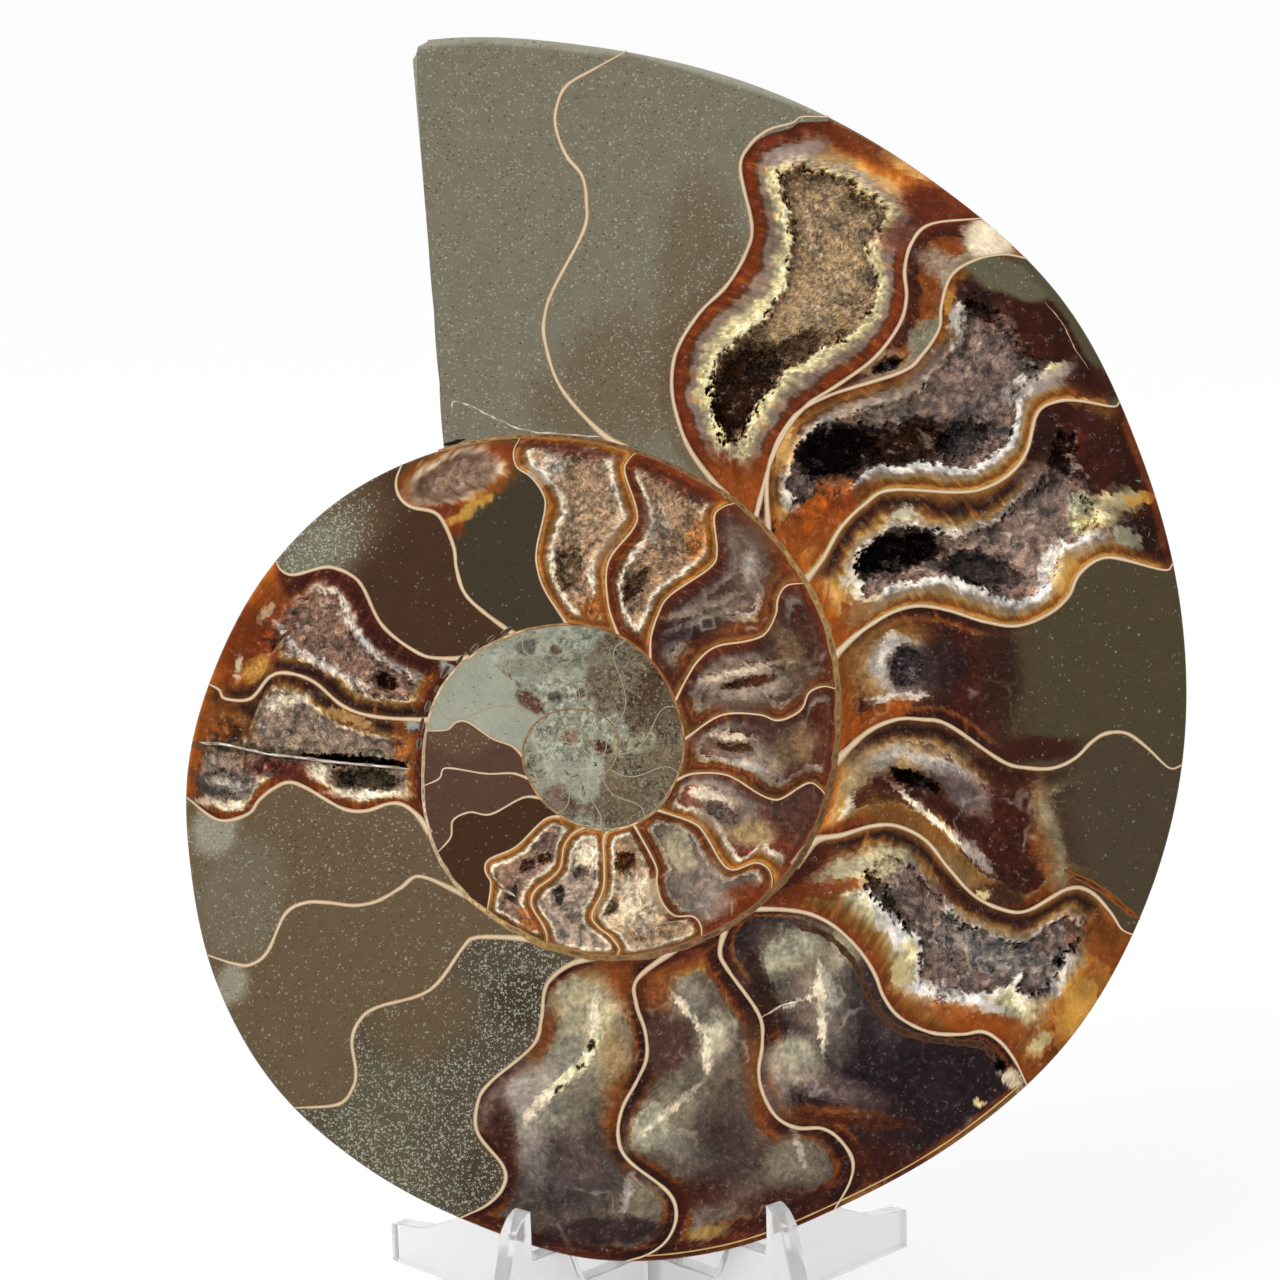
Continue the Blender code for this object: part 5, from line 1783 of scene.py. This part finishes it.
        Spot(-1, -40.5, 3, 0.6, Tone.OAT, 28, 1), Spot(-5, -44.5, 4, 0.7, Tone.OAT, 46, 1),
        Spot(-8, -47.5, 2.5, 0.8, Tone.CREAM, 44, 1), Spot(-7, -37.5, 4, 1.4, Tone.TOFFEE, 20, 0.85, 0.9),
        Spot(-3.5, -57, 6, 8.5, Tone.SOOT, 0, 0.85, 0.9), Spot(-3, -55, 4.5, 2.2, Tone.BARK, 120, 0.6, 0.9),
        Spot(-8.5, -53.5, 4, 1.9, Tone.ASH, 0, 0.6, 0.9),
        Spot(6.5, -60.5, 3.5, 2.5, Tone.SLATE, 10, 0.85, 0.9),
        Spot(4.5, -59.5, 3, 0.7, Tone.CHALK, 10, 0.6), Spot(2.5, -48, 4.5, 1.7, Tone.COPPER, 10, 0.6, 0.9),
        Spot(-13, -53.5, 6, 2.2, Tone.WINE, 0, 0.85, 0.9), Spot(0.5, -65, 9, 1.7, Tone.PLUM_DARK, 85)),
        pools=(Pool(-0.5, -39, 0.8, 0.4, Tone.BOG, 20, 1.2), Pool(-2, -42, 0.8, 0.3, Tone.OLIVE, 50, 1.2),
        Pool(-5, -45, 1, 0.3, Tone.OLIVE, 40, 1.2))),
    Chamber(12, Tone.OLIVE_BROWN, mud=1, fleck=0.85, layers=(
        Spot(-24.5, -34, 8.5, 7, Tone.SILT, 45, fleck=0.35),
        Spot(-30, -46.5, 5.5, 7, Tone.MUD_OLIVE, 0, 0.6), Spot(-16, -57.5, 5.5, 3, Tone.BOG, 0, 0.6),
        Spot(-30, -55, 8.5, 5, Tone.MUD_OLIVE, 120, 0.6, fleck=1.0), Spot(-10.5, -32.5, 4, 4, Tone.BOG))),
    Chamber(13, Tone.SILT, mud=1, fleck=0.35, layers=(
        Spot(-50.5, -30.5, 3, 2.2, Tone.FROST, 30, 0.6, fleck=1.0),)),
    Chamber(14, Tone.SILT, mud=1, fleck=0.45, layers=(Spot(-49.5, -19, 8.5, 7, Tone.MUD, 0, 0.6),
        Spot(-53, -9, 3.5, 3, Tone.FROST, 20, 0.6, fleck=0.9))),
    Chamber(15, Tone.PUTTY, grain=0.3, depth=1, linings=((1.9, Growth.RUST_CREAM), (2.8, Growth.FIBRES),
        (2.2, Growth.AMBER_MARGIN), (2.5, Growth.ORANGE_EDGE)), layers=(
        Spot(-52, 6, 3.5, 3.5, Tone.COPPER, 20, 0.85, 0.9), Spot(-50, 4, 3, 1.7, Tone.UMBER, 70, 0.85, 0.9),
        Spot(-42.5, 9, 4, 1, Tone.CREAM, 80), Spot(-34, 6.5, 3.5, 0.7, Tone.PEACH, 112),
        Spot(-46.5, 2, 8.5, 0.8, Tone.OLIVE_DARK, 96), Spot(-43.5, -0.5, 5, 1.5, Tone.MAROON, 95, 1, 0.9),
        Spot(-52, -2.5, 4, 1.9, Tone.SOOT, 100), Spot(-51.5, -5.5, 4, 0.6, Tone.CREAM, 95),
        Spot(-38.5, -1, 1.7, 1.1, Tone.CREAM, 110), Spot(-32, -4, 5.5, 0.6, Tone.CREAM, 92),
        Spot(-26.5, 3, 3, 1.7, Tone.COPPER, 0, 0.85, 0.9),
        Spot(-25.5, 6, 1.3, 1, Tone.PALE_BLUE, 0, 0.85, 0.35)), pools=(
        Pool(-33, 0.5, 7.5, 0.7, Tone.BLACK, 95, 5), Pool(-32, -2, 5, 1.4, Tone.BOG, 95, 2),
        Pool(-51.5, -2.5, 3, 1.1, Tone.ASH, 100, 1))),
    Chamber(16, Tone.PLUM_PINK, grain=0.3, depth=1.2, linings=((2.8, Growth.FIBRES),
        (3.5, Growth.MAROON_TAN), (3.6, Growth.AMBER_MARGIN), (5.6, Growth.ORANGE_EDGE)), layers=(
        Spot(-48, 17.5, 5.5, 4.5, Tone.RUST, 20, 0.85, 0.9),
        Spot(-47, 13.5, 2.2, 1.4, Tone.GOLD, 60, 0.85, 0.9), Spot(-49.5, 13.5, 1.7, 0.4, Tone.CREAM, 10),
        Spot(-46, 21, 1.7, 0.7, Tone.CREAM, 40, 0.6), Spot(-42.5, 17.5, 3.5, 0.4, Tone.CHALK, 140),
        Spot(-32.5, 17.5, 4.5, 0.4, Tone.CHALK, 142), Spot(-37, 13.5, 5.5, 0.6, Tone.CHALK, 118),
        Spot(-20.5, 13.5, 1.3, 0.7, Tone.PALE_BLUE, 130, 0.85, 0.35)), pools=(
        Pool(-29, 11.5, 1.7, 1.1, Tone.PIT_BROWN, 110, 2.5),)),
    Chamber(17, Tone.COCOA, mud=1, fleck=0.1, layers=(
        Spot(-37, 32, 9.5, 5.5, Tone.BROWN_MUD, 50, 0.85, 0.9, fleck=1.0),
        Spot(-39.5, 28.5, 7, 4, Tone.MOSS_GREY, 50, 0.85, 0.9, fleck=1.0))),
    Chamber(18, Tone.BOG, mud=1, fleck=0.08, grain=0.1, layers=(
        Spot(-19.5, 40, 8.5, 4.5, Tone.COPPER, 68, 1, 0.35, mud=0),
        Spot(-20.5, 35, 3.5, 1.9, Tone.RUST, -25, 1, 0.35, mud=0),
        Spot(-19.5, 40, 6.5, 3, Tone.CREAM, 68, 1, 0.35, mud=0),
        Spot(-19.5, 40, 6, 2.5, Tone.GRAPE, 68, 1, 0.35, mud=0),
        Spot(-12.5, 43.5, 3, 1.4, Tone.RUST, 100, mud=0),
        Spot(-17.5, 35.5, 4, 0.8, Tone.GOLD, 58, 0.85, 0.35, mud=0)), pools=(
        Pool(-19.5, 40, 5.5, 2.4, Tone.SHALE, 68, 0.9),)),
    Chamber(19, Tone.SUGAR_TAN, grain=0.1, depth=1, linings=((2.4, Growth.CREAMY), (2.5, Growth.CREAMY),
        (1.9, Growth.CREAMY), (2.5, Growth.CREAMY)), layers=(Spot(0, 21.5, 2.5, 1.7, Tone.COPPER, 30),
        Spot(-5, 44, 7, 0.8, Tone.MAROON, 98), Spot(0.5, 32, 4, 3, Tone.SUGAR_TAN, 0, 0.6),
        Spot(-7, 41, 3, 1.9, Tone.CHALK, 60, 0.6)), pools=(
        Pool(-4, 27, 3.5, 2.2, Tone.SUGAR_DARK, 25, 1.3),)),
    Chamber(20, Tone.SUGAR_MID, grain=0.1, depth=1, linings=((2.6, Growth.SMALL_SMOKE),
        (2.1, Growth.CREAMY), (2.5, Growth.SMALL_SMOKE), (3.1, Growth.SMALL_RIM)), layers=(
        Spot(14.5, 32, 3, 1.4, Tone.AMBER, 10, 0.6), Spot(8.5, 34, 3.5, 2.2, Tone.DUST, 0, 0.6)), pools=(
        Pool(5.5, 25, 3.5, 1.1, Tone.UMBER_GREY, 40, 1.4),)),
    Chamber(21, Tone.PLUM, grain=0.15, linings=((3.3, Growth.SMALL_PLUM), (3.6, Growth.HONEYED),
        (2.8, Growth.SMALL_PLUM), (3.6, Growth.SMALL_RIM)), layers=(
        Spot(21, 30, 5, 3, Tone.BARK, -20, 0.85, 0.9), Spot(21.5, 27.5, 2.5, 1.1, Tone.ASH, 0, 0.85, 0.9),
        Spot(19.5, 23, 5.5, 2.2, Tone.BARK, 60, 0.6, 0.9),
        Spot(13, 19, 4.5, 1.9, Tone.PLUM_DARK, 75, 0.85, 0.9), Spot(15, 22, 5.5, 0.7, Tone.DUST, 72),
        Spot(15.5, 20.5, 5.5, 0.6, Tone.PUTTY, 70))),
    Chamber(22, Tone.MAROON, grain=0.15, linings=((2.8, Growth.SMALL_PLUM), (2.4, Growth.HONEYED),
        (3.1, Growth.HONEYED), (2.2, Growth.SMALL_RIM)), layers=(
        Spot(27, 16, 5.5, 4, Tone.PLUM, 0, 0.85, 0.9), Spot(20.5, 10.5, 7, 3.5, Tone.BARK, 84),
        Spot(21, 11.5, 6.5, 2.1, Tone.DUST, 84, 1, 0.35), Spot(20, 13, 6, 0.4, Tone.CREAM, 76, 0.6),
        Spot(27, 15.5, 3.5, 1.7, Tone.FAWN, -20, 0.6)), pools=(
        Pool(21.5, 11.5, 4, 0.7, Tone.UMBER, 80, 1.2),)),
    Chamber(23, Tone.MAROON, grain=0.15, linings=((2.2, Growth.SMALL_PLUM), (2.5, Growth.HONEYED),
        (2.8, Growth.HONEYED), (1.7, Growth.SMALL_RIM)), layers=(
        Spot(25.5, 3.5, 4.5, 5.5, Tone.PLUM, 0, 0.85, 0.9), Spot(20, 2, 5.5, 2.1, Tone.PUTTY, 100),
        Spot(19, 4, 3.5, 0.7, Tone.CREAM, 96), Spot(23.5, 0, 3, 1.7, Tone.DUST, 120),
        Spot(28, 2.5, 3, 2.5, Tone.FAWN, 40, 0.6, 0.9), Spot(21, 0, 3.5, 0.6, Tone.CHALK, 105, 0.6)),
        pools=(Pool(19, 2.5, 3, 0.7, Tone.UMBER, 95, 1),)),
    Chamber(24, Tone.MAROON_RED, grain=0.2, linings=((1.9, Growth.SMALL_PLUM), (2.2, Growth.CREAMY),
        (1.9, Growth.HONEYED), (1.9, Growth.SMALL_RIM)), layers=(Spot(18.5, -6.5, 6.5, 3.5, Tone.DUST, 120),
        Spot(16.5, -4.5, 3.5, 1.1, Tone.CREAM, 110), Spot(22, -9.5, 1.7, 3, Tone.FAWN),
        Spot(27, -5.5, 4, 3.5, Tone.PLUM, 0, 0.85, 0.9)), pools=(
        Pool(17.5, -6.5, 3, 1.1, Tone.BARK, 120, 0.9),)),
    Chamber(25, Tone.BARK, grain=0.25, linings=((1.7, Growth.HONEYED), (1.8, Growth.HONEYED),
        (1.7, Growth.HONEYED), (2.2, Growth.SMALL_RIM)), layers=(Spot(12, -12, 4, 1.9, Tone.LINEN, -20),
        Spot(14.5, -16.5, 3, 3.5, Tone.DUST, 0, 0.85, 0.9), Spot(19.5, -19, 3.5, 1.7, Tone.RUST, 60),
        Spot(16, -19.5, 3, 1.9, Tone.ASH, 70, 0.6))),
    Chamber(26, Tone.SUGAR_TAN, grain=0.25, depth=0.9, linings=((1.4, Growth.HONEYED), (1.7, Growth.CREAMY),
        (1.4, Growth.CREAMY), (1.5, Growth.CREAMY)), layers=(Spot(6.5, -19, 6, 3, Tone.CREAM, 75, 0.6),),
        pools=(Pool(4, -13.5, 1.5, 1.7, Tone.UMBER, 0, 1.2),
        Pool(2, -19.5, 1.7, 1.1, Tone.SUGAR_DARK, 40, 0.7))),
    Chamber(27, Tone.DUST, grain=0.3, depth=0.7, linings=((1.4, Growth.CREAMY), (1.5, Growth.CREAMY),
        (1.4, Growth.CREAMY), (1.3, Growth.CREAMY)), layers=(Spot(-1.5, -13, 2.2, 1.7, Tone.CREAM),),
        pools=(Pool(-2, -15, 1.3, 0.8, Tone.MAUVE, 60, 0.9), Pool(-5, -18, 1.3, 0.8, Tone.SOOT, 0, 0.8))),
    Chamber(28, Tone.SHALE, grain=0.3, depth=0.7, linings=((1.4, Growth.CREAMY), (1.5, Growth.CREAMY),
        (1.7, Growth.CREAMY), (1.4, Growth.SMALL_SMOKE)), layers=(
        Spot(-8.5, -21.5, 2.2, 1.9, Tone.TOFFEE, 40),), pools=(Pool(-9.5, -14, 1.3, 1, Tone.PLUM, 60, 0.8),
        Pool(-7, -13, 1.1, 0.8, Tone.UMBER, 60, 0.8), Pool(-11.5, -18, 1.1, 0.8, Tone.SOOT, 0, 0.7))),
    Chamber(29, Tone.COCOA_BROWN, mud=1, fleck=0.05),
    Chamber(30, Tone.PLUM_MUD, mud=1, fleck=0.08),
    Chamber(31, Tone.PLUM_MUD, mud=1, fleck=0.1, layers=(
        Spot(-19, 4, 4.5, 2.5, Tone.MUD_WARM, 100, 0.6, fleck=0.7),)),
    Chamber(32, Tone.PALE_MUD, mud=0.7, fleck=0.6, grain=0.1, layers=(
        Spot(-9, 9, 2.1, 1.3, Tone.CLAY, -50, 0.85, 0.35),)),
)

WALL_ZONES = (
    (333.0, 0.3, Tone.FAWN, Tone.TAN),
    (350.0, 0.45, Tone.TEAK, Tone.TAN),
    (372.0, 0.42, Tone.UMBER, Tone.TAN),
    (395.0, 0.5, Tone.TEAK, Tone.TAN),
    (420.0, 0.66, Tone.TEAK, Tone.STRAW),
    (455.0, 0.66, Tone.UMBER, Tone.FAWN),
    (510.0, 0.66, Tone.UMBER, Tone.TAN),
    (560.0, 0.62, Tone.TEAK, Tone.STRAW),
    (585.0, 0.42, Tone.TAN, Tone.STRAW),
    (605.0, 0.34, Tone.CREAM, Tone.TAN_PINK),
    (640.0, 0.3, Tone.TAN, Tone.CREAM),
    (672.0, 0.3, Tone.TAN, Tone.CREAM),
    (705.0, 0.3, Tone.TEAK, Tone.TAN),
    (760.0, 0.26, Tone.TOFFEE, Tone.TAN),
    (880.0, 0.28, Tone.FAWN, Tone.CREAM),
    (1020.0, 0.18, Tone.TEAK, Tone.TAN),
    (1250.0, 0.12, Tone.FAWN, Tone.TAN),
)

VEINS = (
    # Painted shade: a black strip stands in for the dark gap at the crease.
    Vein('crease_gap_shade', (-21.2, 44.5, -19.6, 44.9, -18.0, 45.3), 0.3, Tone.BLACK, Tone.BLACK),
    Vein('mud_crack', (62.5, 64.6, 65.0, 61.5, 66.5, 58.5, 68.8, 54.9), 0.08, Tone.TAN, Tone.DUST),
    Vein('mouth_line', (-19.9, 48.6, -19.5, 50.7, -16.4, 49.5, -12.8, 47.8, -8.8, 46.4, 0.7, 45.6), 0.17,
        Tone.FROST, Tone.DUST),
    Vein('brown_seam', (27.9, -22.1, 32.5, -23.9, 35.7, -27.1, 38.4, -32.5, 41.6, -36.4, 46.3, -38.2, 49.8,
        -38.5, 54.1, -39.2, 56.0, -41.4), 0.5, Tone.COCOA, Tone.UMBER),
    Vein('old_break', (-55.2, 3.2, -51.4, 2.8, -44.9, 1.5, -38.5, 0.7, -25.7, -0.6), 0.2, Tone.CHALK,
        Tone.DUST),
    Vein('rust_vein', (23.2, -35.2, 26.0, -33.5, 28.5, -32.7), 0.14, Tone.QUARTZ, Tone.TAN),
    Vein('amber_layer', (65.3, -14.6, 70.5, -17.5, 75.8, -21.5), 0.45, Tone.TOFFEE, Tone.TEAK),
)

INNER_STAINS = (
    Spot(4, 13, 6.1, 5.3, Tone.BROWN_MUD, 0, 1, 0.3),
    Spot(8.5, 7, 7.0, 3.9, Tone.COCOA, 0, 0.75, 0.3),
    Spot(7.5, -0.5, 5.0, 6.1, Tone.BROWN_MUD, 0, 1, 0.3),
    Spot(2.5, -5.5, 6.4, 3.3, Tone.BROWN_MUD, -70, 1, 0.3),
    Spot(-5, -5.5, 2.8, 3.1, Tone.PLUM_MUD, 0, 0.6, 0.3),
    Spot(-9, -1.5, 4.7, 2.2, Tone.SLATE, -20, 0.5, 0.3),
    Spot(0.5, 3, 4.7, 1.7, Tone.SAGE, 100, 0.6, 0.3),
    Spot(-1.5, -1.5, 3.6, 2.2, Tone.PALE_MUD, 0, 0.9, 0.3),
    Spot(6.5, 3, 2.2, 1.4, Tone.SAGE, 60, 0.7, 0.3),
    Spot(-9, 8.5, 2.1, 1.3, Tone.CLAY, -50, 0.9, 0.3),
    Spot(1, 2.5, 1.5, 0.8, Tone.CLAY, 110, 0.9, 0.3),
    Spot(-5.5, 9.5, 0.8, 1.1, Tone.SOOT, 0, 0.7, 0.3),
    Spot(-9.5, 16.5, 1.1, 1.4, Tone.SOOT, 0, 0.6, 0.3),
    Spot(-5.5, 16, 0.7, 0.8, Tone.CLAY, 0, 0.8, 0.3),
    Spot(-2, 10, 0.7, 0.7, Tone.UMBER, 0, 0.7, 0.3),
    Spot(-16.5, 9, 4.2, 4.2, Tone.PALE_BLUE, 0, 0.8, 0.3),
    Spot(-3.5, 4, 1.1, 1.1, Tone.MAROON_PINK, 0, 0.5, 0.3),
    Spot(-7, 14, 8.3, 1.3, Tone.MOSS_GREY, 85, 0.5, 0.3),
    Spot(9, 14.5, 3.3, 1.4, Tone.UMBER, -30, 0.7, 0.3),
)


def main() -> None:
    """Builds the fossil, its stand and the studio."""
    logging.basicConfig(level=logging.INFO, format="%(name)s: %(message)s")
    for finish in (StoneFinish, LineFinish, ShellFinish, AcrylicFinish):
        finish()
    sheets = [chamber.build() for chamber in CHAMBERS]
    for septum in SEPTA[1:-1]:
        septum.draw()
    for line in (WhorlWall(WALL_ZONES), *VEINS, RimShell(), WallCells()):
        line.build()
    inner = InnerCoil(INNER_STAINS)
    inner.build_disc()
    inner.build_septa()
    outside = Outside()
    outside.build_mouth(sheets[0], outside.build_back())
    Stand().build()
    Studio().build()


if __name__ == "__main__":
    main()
